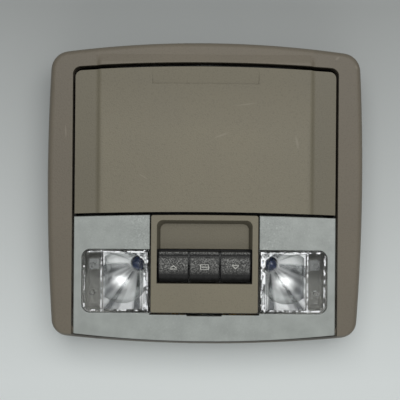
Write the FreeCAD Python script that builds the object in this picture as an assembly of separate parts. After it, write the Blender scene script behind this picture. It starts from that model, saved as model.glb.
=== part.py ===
import FreeCAD, Part
import math
import os

# Car overhead console, lying on the back of its sunglass bin with the visible face up.
# X runs across the car, Y towards the free end of the bin door, Z out of the visible face.
# The origin is under the middle of the outline, on the back of the bin housing. Millimetres.

# Outline of the frame
HALF_WIDTH = 120.0
HALF_LENGTH = 114.5
WIDEST_Y = 11.5
SIDE_BULGE_R = 1600.0
TOP_BULGE_R = 790.0
LOW_BULGE_R = 1070.0
TOP_CORNER_R = 16.0
LOW_CORNER_R = 13.0

# Heights of the frame
FACE_Z = 46.0
RIM_HEIGHT = 16.0
RIM_DRAFT = 2.2
EDGE_ROUND = 4.8
LOW_DRAFT = 3.4
LOW_EDGE_ROUND = 1.2
FRAME_WALL = 2.5
SKIRT_WALL = 2.0
SKIRT_HEIGHT = 12.0

# Opening of the frame
OPENING_HALF_WIDTH = 99.0
OPENING_TOP_Y = 97.1
OPENING_LOW_Y = -108.7
OPENING_TOP_R = 1320.0
OPENING_LOW_R = 900.0
OPENING_CORNER_R = 6.0

# Raised middle zone of the door and of the frame's top rim
CROWN_HEIGHT = 1.8
CROWN_HALF_WIDTH = 77.0
CROWN_SLOPE = 5.0
CROWN_FADE_END_Y = 103.0
CROWN_FADED_HEIGHT = 0.05

# Bin door
DOOR_GAP_SIDE = 2.0
DOOR_GAP_TOP = 3.2
DOOR_THICKNESS = 2.8
DOOR_LOW_Y = -14.1
DOOR_LOW_R = 2544.0
DOOR_CORNER_EASE = 1.0
DOOR_GAP_LOW = 2.2
PUSH_PAD_LENGTH = 79.0
PUSH_PAD_WIDTH = 11.5
PUSH_PAD_DEPTH = 0.7
PUSH_PAD_FROM_EDGE = 1.4

# Bin hinge
HINGE_Y = 6.0
HINGE_DEPTH = 6.0
HINGE_PIN_R = 1.5
HINGE_HUB_R = 3.0
HINGE_FIT = 0.05
ARM_WIDTH = 4.0
ARM_GAP = 1.0
ARM_LENGTH = 17.0
EAR_WIDTH = 4.0

# Bin tray
TRAY_HALF_WIDTH = 82.0
TRAY_FRONT_Y = 9.0
TRAY_BACK_Y = 88.0
TRAY_BACK_SLOPE = 8.0
TRAY_OPEN_Z = 8.0
TRAY_WALL = 1.8
TRAY_CORNER_R = 6.0
LINER_THICKNESS = 1.0
LINER_GAP = 0.5
TRAY_BOSS_R = 4.0
TRAY_BOSS_X = 60.0
TRAY_BOSS_INSET = 14.0

# Bin housing
HOUSING_HALF_WIDTH = 98.0
HOUSING_WALL = 2.0
HOUSING_FRONT_Y = -18.0
HOUSING_BACK_Y = 95.0
HOUSING_CORNER_R = 2.0
TAB_WIDTH = 12.0
TAB_THICKNESS = 2.0
HOUSING_TAB_YS = (66.0, 2.0)
STOP_PAD_R = 2.5
STOP_PAD_HEIGHT = 1.5
STOP_PAD_GAP = 0.1
STOP_POST_R = 3.4
STOP_POST_X = 88.5
STOP_POST_Y = 82.0
ROOF_SCREW_HOLE_R = 2.6
ROOF_SCREW_X = 40.0
ROOF_SCREW_Y = 40.0

# Bin latch
STRIKER_WIDTH = 5.0
STRIKER_HEIGHT = 4.0
STRIKER_Z = 24.0
STRIKER_REACH = 5.0
LATCH_WIDTH = 20.0
LATCH_DEPTH = 4.6
LATCH_LOW_Z = 18.0
LATCH_CLEARANCE = 0.6

# Screws and screw bosses
BOSS_R = 4.0
BOSS_X = 108.0
SCREW_R = 1.5
SCREW_FIT = 0.2
SCREW_HEAD_R = 3.0
SCREW_HEAD_HEIGHT = 1.8
SCREW_LENGTH = 8.0
LAMP_TAB_YS = (-34.0, -82.0)

# Clip towers on the back of the frame
TOWER_X = 60.0
TOWER_TOP_Y = 104.0
TOWER_LOW_Y = -50.0
TOWER_LOW_X = 109.0
TOWER_SIZE = 6.0
TOWER_DEPTH = 32.0
CLIP_STEEL = 0.6
CLIP_HEIGHT = 14.0
CLIP_WIDTH = 5.0
CLIP_BARB = 2.0

# Switch plate
PLATE_HALF_WIDTH = 40.0
PLATE_LOW_Y = -89.3
PLATE_PROUD = 0.5
PLATE_THICKNESS = 2.2
PLATE_SKIRT = 1.6
PLATE_CORNER_R = 1.6
PLATE_EDGE_R = 0.5
POCKET_HALF_WIDTH = 35.6
POCKET_TOP_Y = -20.3
POCKET_LOW_Y = -42.0
POCKET_DEPTH = 7.0
POCKET_SIDE_SLOPE = 2.4
POCKET_TOP_SLOPE = 2.8
POCKET_CORNER_R = 4.5
POCKET_WALL = 1.6
WELL_LOW_Y = -67.6
WELL_WALL = 1.6
PLATE_BOSS_X = 30.0
PLATE_BOSS_Y = -79.0
PLATE_BOSS_R = 3.0

# Rockers
ROCKER_WIDTH = 22.2
ROCKER_PITCH = 23.1
ROCKER_TOP_Y = -43.6
ROCKER_LOW_Y = -66.6
ROCKER_PIVOT_Y = -56.0
ROCKER_PIVOT_DEPTH = 8.8
ROCKER_PIN_R = 1.5
ROCKER_HUB_R = 3.2
ROCKER_PIN_FIT = 0.05
ROCKER_SKIN = 1.8
ROCKER_HOLLOW = 1.2
ROCKER_LIP_DROP = 1.6
# Share of the rocker's length from its lip, and drop below the plate, along its top
ROCKER_CROWN = ((0.05, 0.4), (0.13, 1.5), (0.24, 0.4), (0.42, 0.1), (0.6, 0.6), (0.8, 2.1), (1.0, 4.4))
ROCKER_LEG_OFFSET = 6.0
ROCKER_LEG_SIZE = 3.0
ROCKER_LEG_LENGTH = 8.0

# Switch unit under the rockers
SWITCH_HALF_WIDTH = 36.8
SWITCH_FRONT_Y = -42.6
SWITCH_BACK_Y = -70.6
SWITCH_WALL = 1.5
SWITCH_DEPTH = 10.5
BOARD_THICKNESS = 1.6
BOARD_CLEARANCE = 0.4
MAT_THICKNESS = 1.0
DOME_R = 2.2
DOME_CLEARANCE = 1.2
CONNECTOR_LENGTH = 22.0
CONNECTOR_WIDTH = 9.0
CONNECTOR_HEIGHT = 9.0
CONNECTOR_WALL = 1.2
CONNECTOR_PINS = 5

# Frosted lens
LENS_GAP_SIDE = 1.7
LENS_LOW_LAP = 1.7
LENS_SEAT_GAP = 0.2
LENS_THICKNESS = 2.5
LENS_CORNER_R = 0.8
LENS_WINDOW_GAP = 0.9
LENS_WINDOW_LOW_GAP = 1.6
RELEASE_NOTCH_LENGTH = 26.0
RELEASE_NOTCH_DEPTH = 0.9
LENS_STRIP = 5.8
LENS_EDGE_R = 0.6

# Clear map lenses
MAP_TOP_Y = -42.7
MAP_LOW_Y = -89.1
MAP_INNER_GAP = 1.0
MAP_GAP = 0.5
MAP_PROUD = 0.2
MAP_THICKNESS = 2.0
MAP_WALL = 1.2
MAP_WALL_HEIGHT = 6.0
MAP_CORNER_R = 6.0
MAP_INNER_CORNER_R = 1.2
MAP_PIN_R = 1.0
MAP_PIN_FIT = 0.05
MAP_PIN_LENGTH = 1.4
MAP_PIVOT_INSET = 2.0
MAP_PIVOT_DEPTH = 5.0
MAP_POST_R = 2.0
MAP_POST_INSET = 7.0
MAP_POST_TOP_Y = -54.5
MAP_POST_LOW_Y = -75.0
MAP_POST_LENGTH = 9.0
MAP_RIB_R = 0.9
MAP_RIB_INSETS = (3.2, 6.4)

# Lamp housing
LAMP_WALL = 1.6
LAMP_FLOOR_Z = 8.0
LAMP_TOP_Y = -22.0
LAMP_INSET_LOW = 3.9
LAMP_INSET_SIDE = 3.0
BRIDGE_DEPTH = 12.0
BRIDGE_CLEARANCE = 0.6

# Reflectors and bulbs
REFLECTOR_LENGTH_X = 33.0
REFLECTOR_RIM_DEPTH = 4.0
REFLECTOR_DEEPEST_Z = 24.0
REFLECTOR_WALL = 1.2
REFLECTOR_BOWL_R = 20.0
REFLECTOR_BOWL_X = 61.5
REFLECTOR_BOWL_Y = -63.0
REFLECTOR_HOLE_R = 5.9
REFLECTOR_GAP = 0.6
BULB_X = 50.5
BULB_Y = -54.0
BULB_R = 5.0
BULB_TIP_Z = 36.0
BULB_LOW_Z = 15.0
BULB_NECK_R = 3.2
SOCKET_R = 7.0
SOCKET_FIT = 0.15
SOCKET_FLANGE_R = 9.5
SOCKET_FLANGE_HEIGHT = 2.0
SOCKET_LOW_Z = 2.0
SOCKET_TOP_Z = 21.0
SOCKET_GRIP_WIDTH = 4.0
MAP_SWITCH_SIZE = 8.0
MAP_SWITCH_HEIGHT = 6.0
MAP_SWITCH_GAP = 2.2
MAP_PLUNGER_R = 1.4
MAP_PLUNGER_HEIGHT = 2.0

# Courtesy bulb behind the low band of the frosted lens
DOME_BULB_Z = 28.0
DOME_BULB_R = 5.0
DOME_BULB_LENGTH = 28.0
DOME_CAP_R = 3.5
DOME_CAP_LENGTH = 5.0
CONTACT_STEEL = 0.8
CONTACT_WIDTH = 6.0
BUSBAR_WIDTH = 4.0
BUSBAR_THICKNESS = 0.8
BUSBAR_LENGTH = 130.0
LAMP_CONNECTOR_X = 66.0
LAMP_CONNECTOR_Y = -32.0
LAMP_CONNECTOR_HEIGHT = 6.0

V = FreeCAD.Vector

# Levels that follow from the sizes
RIM_BACK_Z = FACE_Z - RIM_HEIGHT
FACE_BACK_Z = FACE_Z - FRAME_WALL
SKIRT_LOW_Z = FACE_Z - SKIRT_HEIGHT
HINGE_Z = FACE_Z - HINGE_DEPTH
DOOR_BACK_Z = FACE_Z - DOOR_THICKNESS
DOOR_HALF_WIDTH = OPENING_HALF_WIDTH - DOOR_GAP_SIDE
DOOR_TOP_Y = OPENING_TOP_Y - DOOR_GAP_TOP
TRAY_BASE_Z = DOOR_BACK_Z - TRAY_WALL
PLATE_TOP_Z = FACE_Z + PLATE_PROUD
PLATE_BACK_Z = PLATE_TOP_Z - PLATE_THICKNESS
PLATE_TOP_Y = DOOR_LOW_Y - DOOR_GAP_LOW
POCKET_FLOOR_Z = PLATE_TOP_Z - POCKET_DEPTH
ROCKER_PIVOT_Z = PLATE_TOP_Z - ROCKER_PIVOT_DEPTH
BRIDGE_Z = FACE_Z - BRIDGE_DEPTH
BRIDGE_LOW_Z = BRIDGE_Z - LAMP_WALL
LENS_HALF_WIDTH = OPENING_HALF_WIDTH - LENS_GAP_SIDE
LENS_LOW_Y = OPENING_LOW_Y - LENS_LOW_LAP
LENS_BACK_Z = FACE_Z - LENS_THICKNESS
MAP_INNER_X = PLATE_HALF_WIDTH + MAP_INNER_GAP
MAP_OUTER_X = LENS_HALF_WIDTH - LENS_STRIP - MAP_GAP
MAP_TOP_Z = FACE_Z + MAP_PROUD
MAP_BACK_Z = MAP_TOP_Z - MAP_THICKNESS
MAP_PIVOT_X = MAP_INNER_X + MAP_PIVOT_INSET
MAP_PIVOT_Z = FACE_Z - MAP_PIVOT_DEPTH
LAMP_LOW_Y = OPENING_LOW_Y + LAMP_INSET_LOW
LAMP_HALF_WIDTH = LENS_HALF_WIDTH - LAMP_INSET_SIDE
LAMP_FLOOR_TOP_Z = LAMP_FLOOR_Z + LAMP_WALL


def block(x0, x1, y0, y1, z0, z1):
    """Box between two opposite corners."""
    return Part.makeBox(x1 - x0, y1 - y0, z1 - z0, V(x0, y0, z0))


def rod(radius, start, end):
    """Round bar between two points."""
    along = end.sub(start)
    return Part.makeCylinder(radius, along.Length, start, along)


def upright_edges(solid, x_low=None, x_high=None, y_low=None, y_high=None):
    """Straight edges along Z, those beyond the given limits only."""
    chosen = []
    for edge in solid.Edges:
        box = edge.BoundBox
        upright = box.XLength < 0.01 and box.YLength < 0.01
        beyond = x_low is None or abs(box.XMin) > x_low
        within = x_high is None or abs(box.XMin) < x_high
        above = y_low is None or box.YMin > y_low
        below = y_high is None or box.YMin < y_high
        if upright and beyond and within and above and below:
            chosen.append(edge)
    return chosen


def level_edges(solid, z):
    """Edges that lie in the plane at height z."""
    chosen = []
    for edge in solid.Edges:
        box = edge.BoundBox
        if abs(box.ZMin - z) < 0.01 and abs(box.ZMax - z) < 0.01:
            chosen.append(edge)
    return chosen


def soft_box(x0, x1, y0, y1, z0, z1, radius):
    """Box with rounded upright corners."""
    solid = block(x0, x1, y0, y1, z0, z1)
    return solid.makeFillet(radius, upright_edges(solid))


def mirrored(solid):
    """Copy of a solid on the other side of the middle plane."""
    return solid.mirror(V(0, 0, 0), V(1, 0, 0))


def group(solids):
    """Several separate solids in one node."""
    return Part.makeCompound(solids)


def crossing(centre_a, radius_a, centre_b, radius_b, upper):
    """Crossing of two circles, the higher or the lower one."""
    dx = centre_b[0] - centre_a[0]
    dy = centre_b[1] - centre_a[1]
    gap = math.hypot(dx, dy)
    along = (gap * gap + radius_a * radius_a - radius_b * radius_b) / (2 * gap)
    aside = math.sqrt(radius_a * radius_a - along * along)
    base = (centre_a[0] + along * dx / gap, centre_a[1] + along * dy / gap)
    points = []
    for sign in (1, -1):
        points.append((base[0] - sign * aside * dy / gap, base[1] + sign * aside * dx / gap))
    points.sort(key=lambda point: point[1], reverse=upper)
    return points[0]


def outward(centre, target, radius):
    """Point at the given radius from centre, in the direction of target."""
    dx = target[0] - centre[0]
    dy = target[1] - centre[1]
    scale = radius / math.hypot(dx, dy)
    return (centre[0] + dx * scale, centre[1] + dy * scale)


def outline_wire(inset, low_inset, z):
    """Outline of the frame at height z: eight tangent arcs, moved inwards."""
    side_centre = (HALF_WIDTH - SIDE_BULGE_R, WIDEST_Y)
    side_r = SIDE_BULGE_R - inset
    right_middle = (HALF_WIDTH - inset, WIDEST_Y)
    corners = []
    for upper in (True, False):
        bulge_r = (TOP_BULGE_R - inset) if upper else (LOW_BULGE_R - low_inset)
        corner_r = (TOP_CORNER_R if upper else LOW_CORNER_R) - inset
        tip_y = HALF_LENGTH - inset if upper else -HALF_LENGTH + low_inset
        centre = (0.0, tip_y - bulge_r if upper else tip_y + bulge_r)
        corner = crossing(side_centre, side_r - corner_r, centre, bulge_r - corner_r, upper)
        on_side = outward(side_centre, corner, side_r)
        on_end = outward(centre, corner, bulge_r)
        middle = ((on_side[0] + on_end[0]) / 2, (on_side[1] + on_end[1]) / 2)
        on_corner = outward(corner, middle, corner_r)
        corners.append((on_side, on_corner, on_end, (0.0, tip_y)))
    upper_corner, lower_corner = corners

    def bend(first, second, third):
        points = [V(point[0], point[1], z) for point in (first, second, third)]
        return Part.Arc(points[0], points[1], points[2]).toShape()

    def flip(point):
        return (-point[0], point[1])

    edges = [
        bend(lower_corner[0], right_middle, upper_corner[0]),
        bend(upper_corner[0], upper_corner[1], upper_corner[2]),
        bend(upper_corner[2], upper_corner[3], flip(upper_corner[2])),
        bend(flip(upper_corner[2]), flip(upper_corner[1]), flip(upper_corner[0])),
        bend(flip(upper_corner[0]), flip(right_middle), flip(lower_corner[0])),
        bend(flip(lower_corner[0]), flip(lower_corner[1]), flip(lower_corner[2])),
        bend(flip(lower_corner[2]), lower_corner[3], lower_corner[2]),
        bend(lower_corner[2], lower_corner[1], lower_corner[0]),
    ]
    return Part.Wire(edges)


def frame_body(wall, drop):
    """Solid of the frame's outer form, made thinner by wall and lower by drop."""
    shoulder_z = FACE_Z - EDGE_ROUND
    quarter = math.sin(math.radians(45))
    levels = [
        (RIM_BACK_Z, 0.0, 0.0),
        ((RIM_BACK_Z + shoulder_z) / 2, RIM_DRAFT / 2, LOW_DRAFT / 2),
        (shoulder_z, RIM_DRAFT, LOW_DRAFT),
        (shoulder_z + EDGE_ROUND * quarter, RIM_DRAFT + EDGE_ROUND * (1 - quarter),
         LOW_DRAFT + LOW_EDGE_ROUND * (1 - quarter)),
        (FACE_Z, RIM_DRAFT + EDGE_ROUND, LOW_DRAFT + LOW_EDGE_ROUND),
    ]
    wires = []
    for z, inset, low_inset in levels:
        wires.append(outline_wire(inset + wall, low_inset + wall, z - drop))
    return Part.makeLoft(wires, True, False)


def disc(radius, centre_y, z0, z1):
    """Large upright cylinder whose axis stands on the middle plane."""
    return Part.makeCylinder(radius, z1 - z0, V(0, centre_y, z0))


def bowed_box(half, low, low_r, top, top_r, z0, z1):
    """Upright box whose low and top ends bow outwards."""
    solid = block(-half, half, low, top, z0, z1)
    solid = solid.common(disc(low_r, low + low_r, z0, z1))
    return solid.common(disc(top_r, top - top_r, z0, z1))


def opening_prism(grow, z0, z1):
    """Prism of the frame's opening, grown on all sides."""
    half = OPENING_HALF_WIDTH + grow
    solid = bowed_box(half, OPENING_LOW_Y - grow, OPENING_LOW_R + grow,
                      OPENING_TOP_Y + grow, OPENING_TOP_R + grow, z0, z1)
    return solid.makeFillet(OPENING_CORNER_R + grow, upright_edges(solid))


def step_edges(x0, z0, x1, z1, y):
    """Soft step between two levels: two tangent arcs."""
    run = x1 - x0
    rise = z1 - z0
    turn = 2 * math.atan(abs(rise / run))
    radius = (run * run + rise * rise) / (4 * abs(rise))
    run_sign = math.copysign(1, run)
    rise_sign = math.copysign(1, rise)

    def from_start(angle):
        return V(x0 + run_sign * radius * math.sin(angle), y, z0 + rise_sign * radius * (1 - math.cos(angle)))

    def from_end(angle):
        return V(x1 - run_sign * radius * math.sin(angle), y, z1 - rise_sign * radius * (1 - math.cos(angle)))

    middle = V((x0 + x1) / 2, y, (z0 + z1) / 2)
    first = Part.Arc(V(x0, y, z0), from_start(turn / 2), middle).toShape()
    second = Part.Arc(middle, from_end(turn / 2), V(x1, y, z1)).toShape()
    return [first, second]


def crown_edges(half, y, base_z, height):
    """Line across the console: level sides, soft steps and a raised middle."""
    inner = CROWN_HALF_WIDTH
    outer = CROWN_HALF_WIDTH + CROWN_SLOPE
    top_z = base_z + height
    edges = [Part.makeLine(V(-half, y, base_z), V(-outer, y, base_z))]
    edges += step_edges(-outer, base_z, -inner, top_z, y)
    edges.append(Part.makeLine(V(-inner, y, top_z), V(inner, y, top_z)))
    edges += step_edges(inner, top_z, outer, base_z, y)
    edges.append(Part.makeLine(V(outer, y, base_z), V(half, y, base_z)))
    return edges


def crown_section(half, y, base_z, height, floor_z):
    """Closed section under a crown line, with a level floor."""
    edges = crown_edges(half, y, base_z, height)
    corners = [V(half, y, base_z), V(half, y, floor_z), V(-half, y, floor_z), V(-half, y, base_z)]
    for start, end in zip(corners, corners[1:]):
        edges.append(Part.makeLine(start, end))
    return Part.Wire(edges)


def crown_pad():
    """Raised zone on the frame's top rim, fading towards the outer edge."""
    half = CROWN_HALF_WIDTH + CROWN_SLOPE + FRAME_WALL
    floor_z = FACE_Z - FRAME_WALL / 2
    start_y = OPENING_TOP_Y - 2 * OPENING_CORNER_R
    full = crown_section(half, start_y, FACE_Z, CROWN_HEIGHT, floor_z)
    also_full = crown_section(half, OPENING_TOP_Y, FACE_Z, CROWN_HEIGHT, floor_z)
    faded = crown_section(half, CROWN_FADE_END_Y, FACE_Z, CROWN_FADED_HEIGHT, floor_z)
    straight = Part.makeLoft([full, also_full], True, True)
    return straight.fuse(Part.makeLoft([also_full, faded], True, True))


def screw(x, y, head_z, length):
    """Screw driven upwards, with its head under head_z."""
    head = rod(SCREW_HEAD_R, V(x, y, head_z - SCREW_HEAD_HEIGHT), V(x, y, head_z))
    shank = rod(SCREW_R, V(x, y, head_z), V(x, y, head_z + length))
    slot = block(x - SCREW_HEAD_R, x + SCREW_HEAD_R, y - SCREW_R / 4, y + SCREW_R / 4,
                 head_z - SCREW_HEAD_HEIGHT, head_z - SCREW_HEAD_HEIGHT / 2)
    return head.fuse(shank).removeSplitter().cut(slot)


def screw_hole(x, y, z0, z1):
    """Hole that clears a screw's shank."""
    return rod(SCREW_R + SCREW_FIT, V(x, y, z0), V(x, y, z1))


def towers():
    """Middle points of the four clip towers."""
    points = []
    for side in (1, -1):
        points.append((side * TOWER_X, TOWER_TOP_Y))
        points.append((side * TOWER_LOW_X, TOWER_LOW_Y))
    return points


def trim_frame():
    """Bezel: one moulded shell with a skirt, screw bosses and clip towers."""
    through_z = FACE_Z + CROWN_HEIGHT + FRAME_WALL
    shell = frame_body(0.0, 0.0).fuse(crown_pad())
    shell = shell.cut(frame_body(FRAME_WALL, FRAME_WALL))
    root_z = FACE_BACK_Z + FRAME_WALL / 4
    shell = shell.fuse(opening_prism(SKIRT_WALL, SKIRT_LOW_Z, root_z))
    shell = shell.cut(opening_prism(0.0, RIM_BACK_Z - FRAME_WALL, through_z))
    # The low rim is a lip under the edge of the frosted lens
    lip_z = LENS_BACK_Z - LENS_SEAT_GAP
    shell = shell.cut(block(-OPENING_HALF_WIDTH, OPENING_HALF_WIDTH, -HALF_LENGTH, MAP_LOW_Y, lip_z, through_z))
    for y in HOUSING_TAB_YS + LAMP_TAB_YS:
        for x in (BOSS_X, -BOSS_X):
            boss = rod(BOSS_R, V(x, y, SKIRT_LOW_Z), V(x, y, root_z))
            shell = shell.fuse(boss)
            shell = shell.cut(screw_hole(x, y, SKIRT_LOW_Z, SKIRT_LOW_Z + SCREW_LENGTH))
    half = TOWER_SIZE / 2
    for x, y in towers():
        shell = shell.fuse(block(x - half, x + half, y - half, y + half, FACE_Z - TOWER_DEPTH, root_z))
    return shell.removeSplitter()


def mounting_clips():
    """Sprung steel caps on the clip towers, each with a barb on both sides."""
    clips = []
    half = TOWER_SIZE / 2
    outer = half + CLIP_STEEL
    width = CLIP_WIDTH / 2
    end_z = FACE_Z - TOWER_DEPTH
    for x, y in towers():
        cap = block(x - outer, x + outer, y - width, y + width, end_z - CLIP_STEEL, end_z + CLIP_HEIGHT)
        cap = cap.cut(block(x - half, x + half, y - width, y + width, end_z, end_z + CLIP_HEIGHT))
        for side in (1, -1):
            corners = [V(x + side * outer, y - width, end_z),
                       V(x + side * (outer + CLIP_BARB), y - width, end_z + CLIP_HEIGHT / 2),
                       V(x + side * outer, y - width, end_z + CLIP_HEIGHT * 3 / 4)]
            barb = Part.Face(Part.makePolygon(corners + corners[:1])).extrude(V(0, CLIP_WIDTH, 0))
            cap = cap.fuse(barb)
        clips.append(cap.removeSplitter())
    return group(clips)


def door_bosses():
    """Screw points between the tray and the door."""
    points = []
    for x in (TRAY_BOSS_X, -TRAY_BOSS_X):
        for y in (TRAY_FRONT_Y + TRAY_BOSS_INSET, TRAY_BACK_Y - TRAY_BOSS_INSET):
            points.append((x, y))
    return points


def bin_door():
    """Lid of the sunglass bin, with soft creases and a push pad at its free end."""
    low = DOOR_LOW_Y - 2 * DOOR_THICKNESS
    top_z = FACE_Z + CROWN_HEIGHT
    upper = crown_edges(DOOR_HALF_WIDTH, low, FACE_Z, CROWN_HEIGHT)
    lower = crown_edges(DOOR_HALF_WIDTH, low, DOOR_BACK_Z, CROWN_HEIGHT)
    ends = []
    for x in (DOOR_HALF_WIDTH, -DOOR_HALF_WIDTH):
        ends.append(Part.makeLine(V(x, low, FACE_Z), V(x, low, DOOR_BACK_Z)))
    section = Part.Face(Part.Wire(Part.__sortEdges__(upper + lower + ends)))
    sheet = section.extrude(V(0, DOOR_TOP_Y - low, 0))
    plan = block(-DOOR_HALF_WIDTH, DOOR_HALF_WIDTH, low, DOOR_TOP_Y, 0, top_z)
    plan = plan.common(disc(OPENING_TOP_R - DOOR_GAP_TOP, DOOR_TOP_Y - OPENING_TOP_R + DOOR_GAP_TOP, 0, top_z))
    plan = plan.cut(disc(DOOR_LOW_R, DOOR_LOW_Y - DOOR_LOW_R, 0, top_z))
    corner_r = OPENING_CORNER_R - DOOR_CORNER_EASE
    plan = plan.makeFillet(corner_r, upright_edges(plan, y_low=HINGE_Y))
    door = sheet.common(plan)
    pad_top = DOOR_TOP_Y - PUSH_PAD_FROM_EDGE
    pad_low = pad_top - PUSH_PAD_WIDTH
    half = PUSH_PAD_LENGTH / 2
    wedge = [V(-half, pad_top, top_z), V(-half, pad_low, top_z), V(-half, pad_low, top_z - PUSH_PAD_DEPTH)]
    door = door.cut(Part.Face(Part.makePolygon(wedge + wedge[:1])).extrude(V(PUSH_PAD_LENGTH, 0, 0)))
    under_z = DOOR_BACK_Z + CROWN_HEIGHT
    for x, y in door_bosses():
        door = door.fuse(rod(TRAY_BOSS_R, V(x, y, DOOR_BACK_Z), V(x, y, under_z + DOOR_THICKNESS / 4)))
    for x, y in door_bosses():
        door = door.cut(screw_hole(x, y, DOOR_BACK_Z, under_z))
    return door.removeSplitter()


def tray_back(z):
    """Place of the tray's sloping back wall at height z."""
    return TRAY_BACK_Y - TRAY_BACK_SLOPE * (DOOR_BACK_Z - z) / (DOOR_BACK_Z - TRAY_OPEN_Z)


def soft_wire(x0, x1, y0, y1, radius, z):
    """Rectangle with rounded corners at height z."""
    flat = soft_box(x0, x1, y0, y1, z, z + 1, radius)
    for face in flat.Faces:
        if abs(face.BoundBox.ZMax - z) < 0.001:
            return face.OuterWire
    raise ValueError("no level face")


def tray_form(wall, top_z, low_z):
    """Sloping form of the tray, made smaller by wall."""
    half = TRAY_HALF_WIDTH - wall
    radius = TRAY_CORNER_R - wall
    wires = []
    for z in (low_z, top_z):
        wires.append(soft_wire(-half, half, TRAY_FRONT_Y + wall, tray_back(z) - wall, radius, z))
    return Part.makeLoft(wires, True, True)


def bin_tray():
    """Tray behind the door, open towards the housing, with two hinge arms."""
    tray = tray_form(0.0, DOOR_BACK_Z, TRAY_OPEN_Z)
    tray = tray.cut(tray_form(TRAY_WALL, TRAY_BASE_Z, TRAY_OPEN_Z - TRAY_WALL))
    outer = TRAY_HALF_WIDTH + ARM_WIDTH
    root = TRAY_HALF_WIDTH - TRAY_WALL / 2
    for side in (1, -1):
        near, far = sorted((side * root, side * outer))
        arm = block(near, far, HINGE_Y, TRAY_FRONT_Y + ARM_LENGTH, HINGE_Z - HINGE_HUB_R, HINGE_Z + HINGE_HUB_R)
        hub = rod(HINGE_HUB_R, V(side * TRAY_HALF_WIDTH, HINGE_Y, HINGE_Z), V(side * outer, HINGE_Y, HINGE_Z))
        tray = tray.fuse(arm.fuse(hub))
        bore = rod(HINGE_PIN_R + HINGE_FIT, V(side * root, HINGE_Y, HINGE_Z), V(side * outer, HINGE_Y, HINGE_Z))
        tray = tray.cut(bore)
    tray = tray.cut(tray_form(TRAY_WALL, TRAY_BASE_Z, TRAY_OPEN_Z - TRAY_WALL))
    for x, y in door_bosses():
        tray = tray.cut(screw_hole(x, y, TRAY_BASE_Z, DOOR_BACK_Z))
    return tray.removeSplitter()


def bin_liner():
    """Felt pad on the base of the tray, cut out round the screw heads."""
    low_z = TRAY_BASE_Z - LINER_THICKNESS
    inset = TRAY_WALL + LINER_GAP
    half = TRAY_HALF_WIDTH - inset
    pad = soft_box(-half, half, TRAY_FRONT_Y + inset, tray_back(low_z) - inset, low_z, TRAY_BASE_Z,
                   TRAY_CORNER_R - TRAY_WALL)
    for x, y in door_bosses():
        pad = pad.cut(rod(SCREW_HEAD_R + LINER_GAP, V(x, y, low_z), V(x, y, TRAY_BASE_Z)))
    return pad


def tray_screws():
    """Screws that hold the tray to the door."""
    length = TRAY_WALL + CROWN_HEIGHT
    return group([screw(x, y, TRAY_BASE_Z, length) for x, y in door_bosses()])


def bin_striker():
    """Catch on the tray's back wall."""
    half = STRIKER_WIDTH / 2
    reach_y = tray_back(STRIKER_Z + STRIKER_HEIGHT) + STRIKER_REACH
    catch = block(-half, half, TRAY_FRONT_Y, reach_y, STRIKER_Z, STRIKER_Z + STRIKER_HEIGHT)
    return catch.cut(tray_form(0.0, DOOR_BACK_Z, TRAY_OPEN_Z))


def latch_body():
    """Latch on the housing's back wall, with a slot for the catch."""
    half = LATCH_WIDTH / 2
    slot = STRIKER_WIDTH / 2 + LATCH_CLEARANCE
    front = HOUSING_BACK_Y - LATCH_DEPTH
    body = block(-half, half, front, HOUSING_BACK_Y, LATCH_LOW_Z, SKIRT_LOW_Z)
    return body.cut(block(-slot, slot, front, HOUSING_BACK_Y, STRIKER_Z - LATCH_CLEARANCE, SKIRT_LOW_Z))


def ear_inner_x():
    """Inner face of the hinge ears."""
    return TRAY_HALF_WIDTH + ARM_WIDTH + ARM_GAP


def hinge_pin():
    """Right hinge pin, with a head outside the ear."""
    outer = ear_inner_x() + EAR_WIDTH
    shank = rod(HINGE_PIN_R, V(TRAY_HALF_WIDTH, HINGE_Y, HINGE_Z), V(outer, HINGE_Y, HINGE_Z))
    head_end = V(outer + HINGE_PIN_R, HINGE_Y, HINGE_Z)
    head = rod(HINGE_HUB_R - HINGE_PIN_R / 3, V(outer, HINGE_Y, HINGE_Z), head_end)
    return shank.fuse(head).removeSplitter()


def stop_post_z():
    """Top of the posts that carry the rubber stops."""
    return DOOR_BACK_Z - STOP_PAD_GAP - STOP_PAD_HEIGHT


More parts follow.
